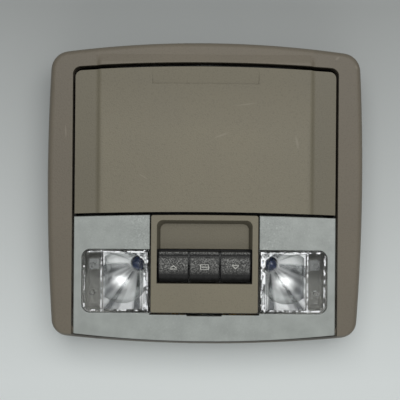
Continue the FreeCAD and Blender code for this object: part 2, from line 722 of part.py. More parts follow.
def bin_housing():
    """Tub behind the bin, with hinge ears, stop posts and screw tabs."""
    wall = HOUSING_WALL
    outer = HOUSING_HALF_WIDTH + wall
    tub = soft_box(-outer, outer, HOUSING_FRONT_Y - wall, HOUSING_BACK_Y + wall, 0, SKIRT_LOW_Z,
                   HOUSING_CORNER_R + wall)
    tub = tub.cut(soft_box(-HOUSING_HALF_WIDTH, HOUSING_HALF_WIDTH, HOUSING_FRONT_Y, HOUSING_BACK_Y,
                           wall, SKIRT_LOW_Z + wall, HOUSING_CORNER_R))
    ear_in = ear_inner_x()
    ear_out = ear_in + EAR_WIDTH
    half = HINGE_HUB_R - HINGE_FIT * 4
    side_parts = block(ear_in, ear_out, HINGE_Y - half, HINGE_Y + half, wall / 2, HINGE_Z)
    side_parts = side_parts.fuse(block(ear_in, HOUSING_HALF_WIDTH + wall / 2, HINGE_Y - half, HINGE_Y + half,
                                       wall / 2, SKIRT_LOW_Z))
    side_parts = side_parts.fuse(rod(half, V(ear_in, HINGE_Y, HINGE_Z), V(ear_out, HINGE_Y, HINGE_Z)))
    side_parts = side_parts.fuse(rod(STOP_POST_R, V(STOP_POST_X, STOP_POST_Y, wall / 2),
                                     V(STOP_POST_X, STOP_POST_Y, stop_post_z())))
    for y in HOUSING_TAB_YS:
        tab = block(outer - wall / 2, BOSS_X + BOSS_R, y - TAB_WIDTH / 2, y + TAB_WIDTH / 2,
                    SKIRT_LOW_Z - TAB_THICKNESS, SKIRT_LOW_Z)
        side_parts = side_parts.fuse(tab)
    tub = tub.fuse(side_parts).fuse(mirrored(side_parts))
    for side in (1, -1):
        tub = tub.cut(rod(HINGE_PIN_R + HINGE_FIT, V(side * ear_in, HINGE_Y, HINGE_Z),
                          V(side * ear_out, HINGE_Y, HINGE_Z)))
        tub = tub.cut(rod(ROOF_SCREW_HOLE_R, V(side * ROOF_SCREW_X, ROOF_SCREW_Y, 0),
                          V(side * ROOF_SCREW_X, ROOF_SCREW_Y, wall)))
        for y in HOUSING_TAB_YS:
            tub = tub.cut(screw_hole(side * BOSS_X, y, SKIRT_LOW_Z - TAB_THICKNESS, SKIRT_LOW_Z))
    return tub.removeSplitter()


def bin_stop_pads():
    """Rubber stops under the free corners of the door."""
    pads = []
    base_z = stop_post_z()
    for x in (STOP_POST_X, -STOP_POST_X):
        pads.append(rod(STOP_PAD_R, V(x, STOP_POST_Y, base_z), V(x, STOP_POST_Y, base_z + STOP_PAD_HEIGHT)))
    return group(pads)


def tab_screws(ys):
    """Screws through the tabs into the frame's bosses."""
    screws = []
    for x in (BOSS_X, -BOSS_X):
        for y in ys:
            screws.append(screw(x, y, SKIRT_LOW_Z - TAB_THICKNESS, SCREW_LENGTH))
    return group(screws)


def lower_top_disc(z0, z1):
    """Cylinder whose rim is the curved line under the door, shared by plate and frosted lens."""
    return disc(DOOR_LOW_R, PLATE_TOP_Y - DOOR_LOW_R, z0, z1)


def tub_wire(half, top, z, radius):
    """Outline of the finger recess: two rounded corners, square towards the rockers."""
    points = [V(-half, POCKET_LOW_Y, z), V(half, POCKET_LOW_Y, z), V(half, top - radius, z),
              V(half - radius, top, z), V(radius - half, top, z), V(-half, top - radius, z)]
    bend = radius * (1 - math.sin(math.radians(45)))
    edges = [
        Part.makeLine(points[0], points[1]),
        Part.makeLine(points[1], points[2]),
        Part.Arc(points[2], V(half - bend, top - bend, z), points[3]).toShape(),
        Part.makeLine(points[3], points[4]),
        Part.Arc(points[4], V(bend - half, top - bend, z), points[5]).toShape(),
        Part.makeLine(points[5], points[0]),
    ]
    return Part.Wire(edges)


def pocket_form(wall, top_z, low_z):
    """Sloping form of the finger recess, grown by wall."""
    radius = POCKET_CORNER_R + wall
    upper = tub_wire(POCKET_HALF_WIDTH + wall, POCKET_TOP_Y + wall, top_z, radius)
    lower = tub_wire(POCKET_HALF_WIDTH - POCKET_SIDE_SLOPE + wall, POCKET_TOP_Y - POCKET_TOP_SLOPE + wall,
                     low_z, radius)
    return Part.makeLoft([lower, upper], True, True)


def switch_plate():
    """Centre plate with the finger recess and the well of the rockers."""
    plate = block(-PLATE_HALF_WIDTH, PLATE_HALF_WIDTH, PLATE_LOW_Y, PLATE_TOP_Y, BRIDGE_Z, PLATE_TOP_Z)
    plate = plate.common(lower_top_disc(BRIDGE_Z, PLATE_TOP_Z))
    plate = plate.makeFillet(PLATE_CORNER_R, upright_edges(plate))
    plate = plate.makeFillet(PLATE_EDGE_R, level_edges(plate, PLATE_TOP_Z))
    inner = PLATE_HALF_WIDTH - PLATE_SKIRT
    sag = PLATE_HALF_WIDTH * PLATE_HALF_WIDTH / (2 * DOOR_LOW_R)
    plate = plate.cut(block(-inner, inner, PLATE_LOW_Y + PLATE_SKIRT, PLATE_TOP_Y - sag - PLATE_SKIRT,
                            BRIDGE_Z, PLATE_BACK_Z))
    root_z = PLATE_BACK_Z + PLATE_THICKNESS / 4
    well_half = POCKET_HALF_WIDTH + WELL_WALL
    plate = plate.fuse(pocket_form(POCKET_WALL, root_z, POCKET_FLOOR_Z - POCKET_WALL))
    plate = plate.fuse(block(-well_half, well_half, WELL_LOW_Y - WELL_WALL, POCKET_LOW_Y, BRIDGE_Z, root_z))
    for x in (PLATE_BOSS_X, -PLATE_BOSS_X):
        plate = plate.fuse(rod(PLATE_BOSS_R, V(x, PLATE_BOSS_Y, BRIDGE_Z), V(x, PLATE_BOSS_Y, root_z)))
        plate = plate.cut(screw_hole(x, PLATE_BOSS_Y, BRIDGE_Z, BRIDGE_Z + SCREW_LENGTH))
    plate = plate.cut(pocket_form(0.0, PLATE_TOP_Z, POCKET_FLOOR_Z))
    well = block(-POCKET_HALF_WIDTH, POCKET_HALF_WIDTH, WELL_LOW_Y, POCKET_LOW_Y, BRIDGE_Z, PLATE_TOP_Z)
    plate = plate.cut(well)
    pivot = rod(ROCKER_PIN_R + ROCKER_PIN_FIT, V(-well_half, ROCKER_PIVOT_Y, ROCKER_PIVOT_Z),
                V(well_half, ROCKER_PIVOT_Y, ROCKER_PIVOT_Z))
    return plate.cut(pivot).removeSplitter()


def plate_screws():
    """Screws through the bridge into the switch plate."""
    head_z = BRIDGE_LOW_Z
    return group([screw(x, PLATE_BOSS_Y, head_z, SCREW_LENGTH) for x in (PLATE_BOSS_X, -PLATE_BOSS_X)])


def rocker_pivot_pin():
    """Steel pin through the three rockers."""
    half = POCKET_HALF_WIDTH + WELL_WALL
    return rod(ROCKER_PIN_R, V(-half, ROCKER_PIVOT_Y, ROCKER_PIVOT_Z), V(half, ROCKER_PIVOT_Y, ROCKER_PIVOT_Z))


def rocker(x):
    """Rocker button: lip, dip and crown above, hub and two legs below."""
    half = ROCKER_WIDTH / 2
    low_z = ROCKER_PIVOT_Z + ROCKER_HUB_R
    length = ROCKER_TOP_Y - ROCKER_LOW_Y
    crown = [V(-half, ROCKER_TOP_Y, PLATE_TOP_Z - ROCKER_LIP_DROP)]
    for share, drop in ROCKER_CROWN:
        crown.append(V(-half, ROCKER_TOP_Y - share * length, PLATE_TOP_Z - drop))
    curve = Part.BSplineCurve()
    curve.interpolate(crown)
    corners = [crown[-1], V(-half, ROCKER_LOW_Y, low_z), V(-half, ROCKER_TOP_Y, low_z), crown[0]]
    edges = [curve.toShape()]
    for start, end in zip(corners, corners[1:]):
        edges.append(Part.makeLine(start, end))
    button = Part.Face(Part.Wire(edges)).extrude(V(ROCKER_WIDTH, 0, 0))
    button = button.cut(block(-half + ROCKER_SKIN, half - ROCKER_SKIN, ROCKER_LOW_Y + ROCKER_SKIN,
                              ROCKER_TOP_Y - ROCKER_SKIN, low_z, low_z + ROCKER_HOLLOW))
    hub_y = ROCKER_PIVOT_Y
    hub = rod(ROCKER_HUB_R, V(-half, hub_y, ROCKER_PIVOT_Z), V(half, hub_y, ROCKER_PIVOT_Z))
    leg = ROCKER_LEG_SIZE / 2
    root_z = low_z + ROCKER_HOLLOW + ROCKER_SKIN / 4
    button = button.fuse(hub)
    button = button.fuse(block(-half, half, hub_y - leg, hub_y + leg, ROCKER_PIVOT_Z, root_z))
    for offset in (ROCKER_LEG_OFFSET, -ROCKER_LEG_OFFSET):
        leg_y = hub_y + offset
        foot_z = ROCKER_PIVOT_Z - ROCKER_LEG_LENGTH
        button = button.fuse(block(-leg, leg, leg_y - leg, leg_y + leg, foot_z, root_z))
    bore = rod(ROCKER_PIN_R + ROCKER_PIN_FIT, V(-half, hub_y, ROCKER_PIVOT_Z), V(half, hub_y, ROCKER_PIVOT_Z))
    button = button.cut(bore).removeSplitter()
    button.translate(V(x, 0, 0))
    return button


def switch_floor_z():
    """Top of the floor of the switch housing."""
    return BRIDGE_Z - SWITCH_DEPTH + SWITCH_WALL


def switch_housing():
    """Tub under the rockers, closed by the switch plate."""
    half = SWITCH_HALF_WIDTH
    wall = SWITCH_WALL
    tub = block(-half, half, SWITCH_BACK_Y, SWITCH_FRONT_Y, BRIDGE_Z - SWITCH_DEPTH, BRIDGE_Z)
    return tub.cut(block(-half + wall, half - wall, SWITCH_BACK_Y + wall, SWITCH_FRONT_Y - wall,
                         switch_floor_z(), BRIDGE_Z))


def switch_sheet(clearance, z0, z1):
    """Flat sheet that fits in the switch housing."""
    inset = SWITCH_WALL + clearance
    half = SWITCH_HALF_WIDTH - inset
    return block(-half, half, SWITCH_BACK_Y + inset, SWITCH_FRONT_Y - inset, z0, z1)


def switch_board():
    """Circuit board on the floor of the switch housing."""
    base_z = switch_floor_z()
    return switch_sheet(BOARD_CLEARANCE, base_z, base_z + BOARD_THICKNESS)


def dome_mat():
    """Silicone mat with a dome under each leg of the rockers."""
    base_z = switch_floor_z() + BOARD_THICKNESS
    top_z = base_z + MAT_THICKNESS
    dome_z = ROCKER_PIVOT_Z - ROCKER_LEG_LENGTH - DOME_CLEARANCE
    mat = switch_sheet(BOARD_CLEARANCE, base_z, top_z)
    for index in (-1, 0, 1):
        for offset in (ROCKER_LEG_OFFSET, -ROCKER_LEG_OFFSET):
            foot = V(index * ROCKER_PITCH, ROCKER_PIVOT_Y + offset, base_z)
            mat = mat.fuse(Part.makeCone(DOME_R, DOME_R / 2, dome_z - base_z, foot))
    return mat.removeSplitter()


def plug_shroud(x, y, length, width, height, top_z):
    """Connector shroud, open downwards, with its contact pins."""
    half_l = length / 2
    half_w = width / 2
    wall = CONNECTOR_WALL
    shroud = block(x - half_l, x + half_l, y - half_w, y + half_w, top_z - height, top_z)
    shroud = shroud.cut(block(x - half_l + wall, x + half_l - wall, y - half_w + wall, y + half_w - wall,
                              top_z - height, top_z - wall))
    for index in range(CONNECTOR_PINS):
        pin_x = x + (index - (CONNECTOR_PINS - 1) / 2) * length / (CONNECTOR_PINS + 1)
        shroud = shroud.fuse(block(pin_x - wall / 2, pin_x + wall / 2, y - wall / 2, y + wall / 2,
                                   top_z - height + wall, top_z - wall / 2))
    return shroud.removeSplitter()


def switch_connector():
    """Connector under the switch housing."""
    middle_y = (SWITCH_FRONT_Y + SWITCH_BACK_Y) / 2
    return plug_shroud(0.0, middle_y, CONNECTOR_LENGTH, CONNECTOR_WIDTH, CONNECTOR_HEIGHT,
                       BRIDGE_Z - SWITCH_DEPTH)


def map_prism(grow, z0, z1):
    """Prism of the right clear lens in plan, grown on all sides."""
    solid = block(MAP_INNER_X - grow, MAP_OUTER_X + grow, MAP_LOW_Y - grow, MAP_TOP_Y + grow, z0, z1)
    solid = solid.makeFillet(MAP_CORNER_R + grow, upright_edges(solid, x_low=MAP_OUTER_X - MAP_CORNER_R))
    if grow < 0:
        return solid
    return solid.makeFillet(MAP_INNER_CORNER_R + grow, upright_edges(solid, x_high=MAP_INNER_X + MAP_CORNER_R))


def map_lens():
    """Right clear lens: a plate with a rim, two inner ribs, two posts and two pivot stubs."""
    low_z = MAP_BACK_Z - MAP_WALL_HEIGHT
    lens = map_prism(0.0, low_z, MAP_TOP_Z)
    lens = lens.makeFillet(LENS_EDGE_R, level_edges(lens, MAP_TOP_Z))
    lens = lens.cut(map_prism(-MAP_WALL, low_z, MAP_BACK_Z))
    for inset in MAP_RIB_INSETS:
        rib_x = MAP_INNER_X + inset
        lens = lens.fuse(rod(MAP_RIB_R, V(rib_x, MAP_LOW_Y + MAP_WALL / 2, MAP_BACK_Z),
                             V(rib_x, MAP_TOP_Y - MAP_WALL / 2, MAP_BACK_Z)))
    post_x = MAP_OUTER_X - MAP_POST_INSET
    for y in (MAP_POST_TOP_Y, MAP_POST_LOW_Y):
        lens = lens.fuse(rod(MAP_POST_R, V(post_x, y, MAP_BACK_Z - MAP_POST_LENGTH),
                             V(post_x, y, MAP_BACK_Z + MAP_THICKNESS / 4)))
    for y, out in ((MAP_TOP_Y, 1), (MAP_LOW_Y, -1)):
        lens = lens.fuse(rod(MAP_PIN_R, V(MAP_PIVOT_X, y - out * MAP_WALL / 2, MAP_PIVOT_Z),
                             V(MAP_PIVOT_X, y + out * MAP_PIN_LENGTH, MAP_PIVOT_Z)))
    return lens.removeSplitter()


def diffuser_lens():
    """Frosted U-shaped lens with windows for the clear lenses and the switch plate."""
    low_r = OPENING_LOW_R + LENS_LOW_LAP
    lens = block(-LENS_HALF_WIDTH, LENS_HALF_WIDTH, LENS_LOW_Y, PLATE_TOP_Y, LENS_BACK_Z, FACE_Z)
    lens = lens.common(disc(low_r, LENS_LOW_Y + low_r, LENS_BACK_Z, FACE_Z))
    lens = lens.common(lower_top_disc(LENS_BACK_Z, FACE_Z))
    lens = lens.makeFillet(LENS_CORNER_R, upright_edges(lens, y_high=MAP_LOW_Y))
    plate_half = PLATE_HALF_WIDTH + LENS_WINDOW_GAP
    plate_low = PLATE_LOW_Y - LENS_WINDOW_LOW_GAP
    lens = lens.cut(block(-plate_half, plate_half, plate_low, PLATE_TOP_Y, LENS_BACK_Z, FACE_Z))
    window = map_prism(MAP_GAP, LENS_BACK_Z, FACE_Z)
    window = window.fuse(block(PLATE_HALF_WIDTH, MAP_PIVOT_X, MAP_LOW_Y - MAP_GAP, MAP_TOP_Y + MAP_GAP,
                               LENS_BACK_Z, FACE_Z))
    lens = lens.cut(window).cut(mirrored(window)).removeSplitter()
    lens = lens.makeFillet(LENS_EDGE_R, level_edges(lens, FACE_Z))
    half = RELEASE_NOTCH_LENGTH / 2
    notch = block(-half, half, plate_low - RELEASE_NOTCH_DEPTH, PLATE_LOW_Y, LENS_BACK_Z, FACE_Z)
    return lens.cut(notch)


def lamp_tub(inset, z0, z1):
    """Plan form of the lamp housing, made smaller by inset."""
    low_r = OPENING_LOW_R - LAMP_INSET_LOW - inset
    half = LAMP_HALF_WIDTH - inset
    tub = block(-half, half, LAMP_LOW_Y + inset, LAMP_TOP_Y - inset, z0, z1)
    return tub.common(disc(low_r, LAMP_LOW_Y + inset + low_r, z0, z1))


def map_switch_base_z():
    """Underside of the small switches under the clear lenses."""
    return MAP_BACK_Z - MAP_POST_LENGTH - MAP_SWITCH_GAP - MAP_PLUNGER_HEIGHT - MAP_SWITCH_HEIGHT


def lamp_side_parts():
    """Walls, bulb seat, switch pedestal and screw tabs of the right half of the lamp housing."""
    outer = LAMP_HALF_WIDTH - LAMP_WALL / 2
    inner = PLATE_HALF_WIDTH - LAMP_WALL / 2
    floor_z = LAMP_FLOOR_Z + LAMP_WALL / 2
    upper_wall = MAP_TOP_Y + MAP_GAP
    lower_wall = MAP_LOW_Y - MAP_GAP
    parts = block(inner, outer, upper_wall, upper_wall + LAMP_WALL, floor_z, LENS_BACK_Z)
    parts = parts.fuse(block(inner, outer, lower_wall - LAMP_WALL, lower_wall, floor_z, LENS_BACK_Z))
    seat_r = SOCKET_R + SOCKET_FIT + LAMP_WALL
    seat_top = REFLECTOR_DEEPEST_Z - REFLECTOR_WALL
    parts = parts.fuse(rod(seat_r, V(BULB_X, BULB_Y, floor_z), V(BULB_X, BULB_Y, seat_top)))
    post_x = MAP_OUTER_X - MAP_POST_INSET
    half = MAP_SWITCH_SIZE / 2 + LAMP_WALL / 2
    parts = parts.fuse(block(post_x - half, post_x + half, MAP_POST_TOP_Y - half, MAP_POST_TOP_Y + half,
                             floor_z, map_switch_base_z()))
    for y in LAMP_TAB_YS:
        tab = block(outer, BOSS_X + BOSS_R, y - TAB_WIDTH / 2, y + TAB_WIDTH / 2,
                    SKIRT_LOW_Z - TAB_THICKNESS, SKIRT_LOW_Z)
        parts = parts.fuse(tab.cut(screw_hole(BOSS_X, y, SKIRT_LOW_Z - TAB_THICKNESS, SKIRT_LOW_Z)))
    return parts


def lamp_side_bores():
    """Holes of the right half of the lamp housing: bulb socket and lens pivots."""
    socket = rod(SOCKET_R + SOCKET_FIT, V(BULB_X, BULB_Y, LAMP_FLOOR_Z), V(BULB_X, BULB_Y, REFLECTOR_DEEPEST_Z))
    pivot = rod(MAP_PIN_R + MAP_PIN_FIT, V(MAP_PIVOT_X, MAP_LOW_Y - MAP_GAP - LAMP_WALL, MAP_PIVOT_Z),
                V(MAP_PIVOT_X, MAP_TOP_Y + MAP_GAP + LAMP_WALL, MAP_PIVOT_Z))
    return socket.fuse(pivot)


def lamp_housing():
    """White carrier of the lamps, with a bridge that holds the switch plate."""
    tub = lamp_tub(0.0, LAMP_FLOOR_Z, LENS_BACK_Z)
    tub = tub.cut(lamp_tub(LAMP_WALL, LAMP_FLOOR_TOP_Z, LENS_BACK_Z))
    low = MAP_LOW_Y - MAP_GAP - LAMP_WALL
    inner = PLATE_HALF_WIDTH - LAMP_WALL
    tub = tub.fuse(block(-PLATE_HALF_WIDTH, PLATE_HALF_WIDTH, low, LAMP_TOP_Y, LAMP_FLOOR_Z, BRIDGE_Z))
    parts = lamp_side_parts()
    tub = tub.fuse(parts).fuse(mirrored(parts))
    clear = PLATE_HALF_WIDTH + LENS_WINDOW_GAP
    tub = tub.cut(block(-clear, clear, low, LAMP_TOP_Y, BRIDGE_Z, LENS_BACK_Z))
    tub = tub.cut(block(-inner, inner, low + LAMP_WALL, LAMP_TOP_Y - LAMP_WALL, LAMP_FLOOR_Z, BRIDGE_LOW_Z))
    window = SWITCH_HALF_WIDTH + BRIDGE_CLEARANCE
    tub = tub.cut(block(-window, window, SWITCH_BACK_Y - BRIDGE_CLEARANCE, SWITCH_FRONT_Y + BRIDGE_CLEARANCE,
                        BRIDGE_LOW_Z, BRIDGE_Z))
    for x in (PLATE_BOSS_X, -PLATE_BOSS_X):
        tub = tub.cut(screw_hole(x, PLATE_BOSS_Y, BRIDGE_LOW_Z, BRIDGE_Z))
    bores = lamp_side_bores()
    return tub.cut(bores).cut(mirrored(bores)).removeSplitter()


def reflector():
    """Right chromed reflector: a round bowl in a flat plate, with a neck on the bulb seat."""
    wall = REFLECTOR_WALL
    x0 = MAP_INNER_X + MAP_WALL + REFLECTOR_GAP
    x1 = x0 + REFLECTOR_LENGTH_X
    y0 = MAP_LOW_Y + MAP_WALL + REFLECTOR_GAP
    y1 = MAP_TOP_Y - MAP_WALL - REFLECTOR_GAP
    rim_z = FACE_Z - REFLECTOR_RIM_DEPTH
    low_z = REFLECTOR_DEEPEST_Z - wall
    centre = V(REFLECTOR_BOWL_X, REFLECTOR_BOWL_Y, REFLECTOR_DEEPEST_Z + REFLECTOR_BOWL_R)
    neck = rod(SOCKET_R + SOCKET_FIT + LAMP_WALL, V(BULB_X, BULB_Y, low_z), V(BULB_X, BULB_Y, rim_z))
    shell = neck.fuse(Part.makeSphere(REFLECTOR_BOWL_R + wall, centre))
    shell = shell.common(block(x0, x1, y0, y1, low_z, rim_z))
    shell = shell.fuse(block(x0, x1, y0, y1, rim_z - wall, rim_z))
    bowl = block(x0 + wall, x1 - wall, y0 + wall, y1 - wall, low_z, rim_z)
    shell = shell.cut(bowl.common(Part.makeSphere(REFLECTOR_BOWL_R, centre)))
    tunnel = rod(REFLECTOR_HOLE_R, V(BULB_X, BULB_Y, low_z), V(BULB_X, BULB_Y, rim_z))
    return shell.cut(tunnel).removeSplitter()


def map_bulb():
    """Right capless bulb, its round tip towards the lens."""
    shoulder_z = SOCKET_TOP_Z + BULB_NECK_R - BULB_R / 3
    dome_z = BULB_TIP_Z - BULB_R
    points = [V(0, 0, BULB_LOW_Z), V(BULB_NECK_R, 0, BULB_LOW_Z), V(BULB_NECK_R, 0, SOCKET_TOP_Z),
              V(BULB_R, 0, shoulder_z), V(BULB_R, 0, dome_z)]
    edges = []
    for start, end in zip(points, points[1:]):
        edges.append(Part.makeLine(start, end))
    half = BULB_R * math.sin(math.radians(45))
    tip = V(0, 0, BULB_TIP_Z)
    edges.append(Part.Arc(points[-1], V(half, 0, dome_z + half), tip).toShape())
    edges.append(Part.makeLine(tip, points[0]))
    bulb = Part.Face(Part.Wire(edges)).revolve(V(0, 0, 0), V(0, 0, 1), 360)
    bulb.translate(V(BULB_X, BULB_Y, 0))
    return bulb


def bulb_socket():
    """Right twist socket, with a flange under the floor and a grip."""
    flange_z = LAMP_FLOOR_Z - SOCKET_FLANGE_HEIGHT
    body = rod(SOCKET_R, V(BULB_X, BULB_Y, flange_z), V(BULB_X, BULB_Y, SOCKET_TOP_Z))
    body = body.fuse(rod(SOCKET_FLANGE_R, V(BULB_X, BULB_Y, flange_z), V(BULB_X, BULB_Y, LAMP_FLOOR_Z)))
    half = SOCKET_GRIP_WIDTH / 2
    body = body.fuse(block(BULB_X - SOCKET_R, BULB_X + SOCKET_R, BULB_Y - half, BULB_Y + half,
                           SOCKET_LOW_Z, flange_z))
    return body.cut(rod(BULB_NECK_R + SOCKET_FIT, V(BULB_X, BULB_Y, BULB_LOW_Z),
                        V(BULB_X, BULB_Y, SOCKET_TOP_Z))).removeSplitter()


def map_switch():
    """Right push switch on its pedestal, under a post of the clear lens."""
    x = MAP_OUTER_X - MAP_POST_INSET
    y = MAP_POST_TOP_Y
    half = MAP_SWITCH_SIZE / 2
    base_z = map_switch_base_z()
    top_z = base_z + MAP_SWITCH_HEIGHT
    body = block(x - half, x + half, y - half, y + half, base_z, top_z)
    return body.fuse(rod(MAP_PLUNGER_R, V(x, y, top_z), V(x, y, top_z + MAP_PLUNGER_HEIGHT))).removeSplitter()


def dome_bulb_y():
    """Middle of the low band, between the walls of the lamp housing."""
    return (MAP_LOW_Y - MAP_GAP - LAMP_WALL + LAMP_LOW_Y + LAMP_WALL) / 2


def dome_bulb():
    """Tube bulb with a metal cap at each end."""
    y = dome_bulb_y()
    half = DOME_BULB_LENGTH / 2
    end = half + DOME_CAP_LENGTH
    glass = rod(DOME_BULB_R, V(-half, y, DOME_BULB_Z), V(half, y, DOME_BULB_Z))
    caps = rod(DOME_CAP_R, V(-end, y, DOME_BULB_Z), V(end, y, DOME_BULB_Z))
    return glass.fuse(caps).removeSplitter()


def dome_bulb_contacts():
    """Two bent strips that hold the tube bulb by its caps."""
    y = dome_bulb_y()
    end = DOME_BULB_LENGTH / 2 + DOME_CAP_LENGTH
    half = CONTACT_WIDTH / 2
    base_z = LAMP_FLOOR_TOP_Z + BUSBAR_THICKNESS
    strips = []
    for side in (1, -1):
        near, far = sorted((side * end, side * (end + CONTACT_STEEL)))
        strip = block(near, far, y - half, y + half, base_z, DOME_BULB_Z + DOME_CAP_R)
        near, far = sorted((side * end, side * (end + CONTACT_WIDTH)))
        foot = block(near, far, y - half, y + half, base_z, base_z + CONTACT_STEEL)
        strips.append(strip.fuse(foot).removeSplitter())
    return group(strips)


def lamp_busbar():
    """Brass strip on the floor of the low band."""
    y = dome_bulb_y()
    half = BUSBAR_WIDTH / 2
    return block(-BUSBAR_LENGTH / 2, BUSBAR_LENGTH / 2, y - half, y + half,
                 LAMP_FLOOR_TOP_Z, LAMP_FLOOR_TOP_Z + BUSBAR_THICKNESS)


def lamp_connector():
    """Connector under the floor of the lamp housing."""
    return plug_shroud(LAMP_CONNECTOR_X, LAMP_CONNECTOR_Y, CONNECTOR_LENGTH, CONNECTOR_WIDTH,
                       LAMP_CONNECTOR_HEIGHT, LAMP_FLOOR_Z)


def save(name, shape):
    """Write one piece."""
    shape.exportStep("parts/" + name + ".step")


def save_pair(name, shape):
    """Write a right-hand piece and its mirror copy."""
    save(name + "_right", shape)
    save(name + "_left", mirrored(shape))


def main():
    """Build every piece of the console."""
    os.makedirs("parts", exist_ok=True)
    save("trim_frame", trim_frame())
    save("mounting_clips", mounting_clips())
    save("bin_door", bin_door())
    save("bin_tray", bin_tray())
    save("bin_liner", bin_liner())
    save("tray_screws", tray_screws())
    save("bin_striker", bin_striker())
    save("latch_body", latch_body())
    save_pair("hinge_pin", hinge_pin())
    save("bin_housing", bin_housing())
    save("bin_stop_pads", bin_stop_pads())
    save("housing_screws", tab_screws(HOUSING_TAB_YS))
    save("lamp_screws", tab_screws(LAMP_TAB_YS))
    save("switch_plate", switch_plate())
    save("plate_screws", plate_screws())
    save("rocker_pivot_pin", rocker_pivot_pin())
    for name, place in (("left", -1), ("middle", 0), ("right", 1)):
        save("rocker_" + name, rocker(place * ROCKER_PITCH))
    save("switch_housing", switch_housing())
    save("switch_board", switch_board())
    save("dome_mat", dome_mat())
    save("switch_connector", switch_connector())
    save("diffuser_lens", diffuser_lens())
    save_pair("map_lens", map_lens())
    save("lamp_housing", lamp_housing())
    save_pair("reflector", reflector())
    save_pair("map_bulb", map_bulb())
    save_pair("bulb_socket", bulb_socket())
    save_pair("map_switch", map_switch())
    save("dome_bulb", dome_bulb())
    save("dome_bulb_contacts", dome_bulb_contacts())
    save("lamp_busbar", lamp_busbar())
    save("lamp_connector", lamp_connector())


main()
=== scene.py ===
"""Looks of a car overhead console: finishes of its pieces, floor, light and camera."""

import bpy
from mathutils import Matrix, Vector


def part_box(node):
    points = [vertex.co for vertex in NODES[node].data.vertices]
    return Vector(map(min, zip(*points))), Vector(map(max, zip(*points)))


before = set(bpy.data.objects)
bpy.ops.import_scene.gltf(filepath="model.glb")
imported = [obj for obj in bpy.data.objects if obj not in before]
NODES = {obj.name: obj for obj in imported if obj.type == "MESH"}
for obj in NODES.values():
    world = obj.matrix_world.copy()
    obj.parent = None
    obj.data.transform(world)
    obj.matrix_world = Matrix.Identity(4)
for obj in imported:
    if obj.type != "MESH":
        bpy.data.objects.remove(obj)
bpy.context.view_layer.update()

import math

import bpy
from mathutils import Vector

bl_info = {
    "name": "Overhead console finishes",
    "version": (1, 0, 0),
    "blender": (4, 5, 0),
    "location": "View3D > Sidebar > Console",
    "description": "Dresses the pieces of a car overhead console and sets its stage",
    "category": "Material",
}

MM = 0.001

# Levels between which most of a noise pattern lies
NOISE_LOW = 0.3
NOISE_HIGH = 0.7

# Painted shade: beyond the creases, counted in from the outer side of a clear lens, and towards the free end
# of the bin door
CREASE_INSET = 14 * MM
CREASE_FADE_IN = 2 * MM
CREASE_FADE_OUT = 4 * MM
END_FADE_START = 50 * MM
END_FADE_STOP = 12 * MM

# Finger recess of the switch plate: how far down painted shade darkens it, and the fade above that
RECESS_DEPTH = 5 * MM
RECESS_FADE = 3 * MM

# Shadow on the bezel: heights below the frosted lens, and reach past its low end and its sides
LIP_SHADOW_FOOT = 14 * MM
LIP_SHADOW_TOP = 6 * MM
LIP_SHADOW_NEAR = 5 * MM
LIP_SHADOW_FAR = 8 * MM
LIP_SHADOW_SIDE = 8 * MM

# Scuffs: place, half sizes and turn, in metres and degrees
DOOR_SCUFFS = (
    ((0.068, 0.038), (0.0012, 0.0060), 12),
    ((0.012, 0.043), (0.0070, 0.0010), 20),
    ((-0.046, 0.012), (0.0050, 0.0007), -30),
    ((0.030, 0.066), (0.0090, 0.0006), 8),
)
BEZEL_SCUFFS = (
    ((0.0978, 0.1009), (0.0022, 0.0011), 35),
    ((0.1120, 0.0945), (0.0010, 0.0024), 20),
    ((-0.1040, 0.0450), (0.0007, 0.0060), 4),
)

# Rockers: painted sheen of bright flecks on the crest below the top, painted shade in a groove in from the
# far side and along the sides
CREST_FOOT = 1.8 * MM
CREST_TOP = 0.4 * MM
GROOVE_INSET = 3.0 * MM
GROOVE_HALF = 0.45 * MM
SIDE_DARK_START = 0.9 * MM
SIDE_DARK_STOP = 0.3 * MM

# Symbols on the rockers
ARROW_SLOPE = 0.8
ARROW_TIP = 0.9 * MM
ARROW_HALF_WIDTH = 2.2 * MM
ARROW_STROKE_HALF = 0.35 * MM
BAR_STROKE_HALF = 0.3 * MM
ARROW_BAR_HALF_WIDTH = 2.6 * MM
ARROW_BAR_OFFSET = 1.6 * MM
PANEL_HALF_WIDTH = 3.2 * MM
PANEL_HALF_HEIGHT = 2.0 * MM
PANEL_INNER_SHARE = 0.82
PANEL_BAR_HALF_WIDTH = 2.2 * MM

# Frosted lens: how far the coarse frost reaches from the switch plate
FROST_REACH = 28 * MM

# Clear lenses: glass, depth of the top plate, and glints of the rim, the reflector's edge and the ribs
HAZY_LENS = (0.93, 0.95, 0.95, 1.0)
BRIGHT_LENS = (0.98, 0.985, 0.985, 1.0)
LENS_TOP_DEPTH = 2.2 * MM
RIM_END_INSET = 1.4 * MM
RIM_GLINT_INSET = 1.5 * MM
RIM_GLINT_HALF = 0.55 * MM
REFLECTOR_GLINT_INSET = 34 * MM
REFLECTOR_GLINT_HALF = 0.5 * MM
RIB_GLINT_INSET = 3.2 * MM
RIB_GLINT_HALF = 1.1 * MM

# Lamps behind the lenses: chrome with painted reflection streaks, its painted highlight ring round the bulb,
# and glass of the courtesy bulb
DULL_CHROME = (0.3, 0.31, 0.31, 1.0)
BRIGHT_CHROME = (0.94, 0.95, 0.94, 1.0)
BULB_RING_R = 6.5 * MM
BULB_RING_HALF = 0.6 * MM
CLEAR_GLASS = (0.9, 0.92, 0.92)

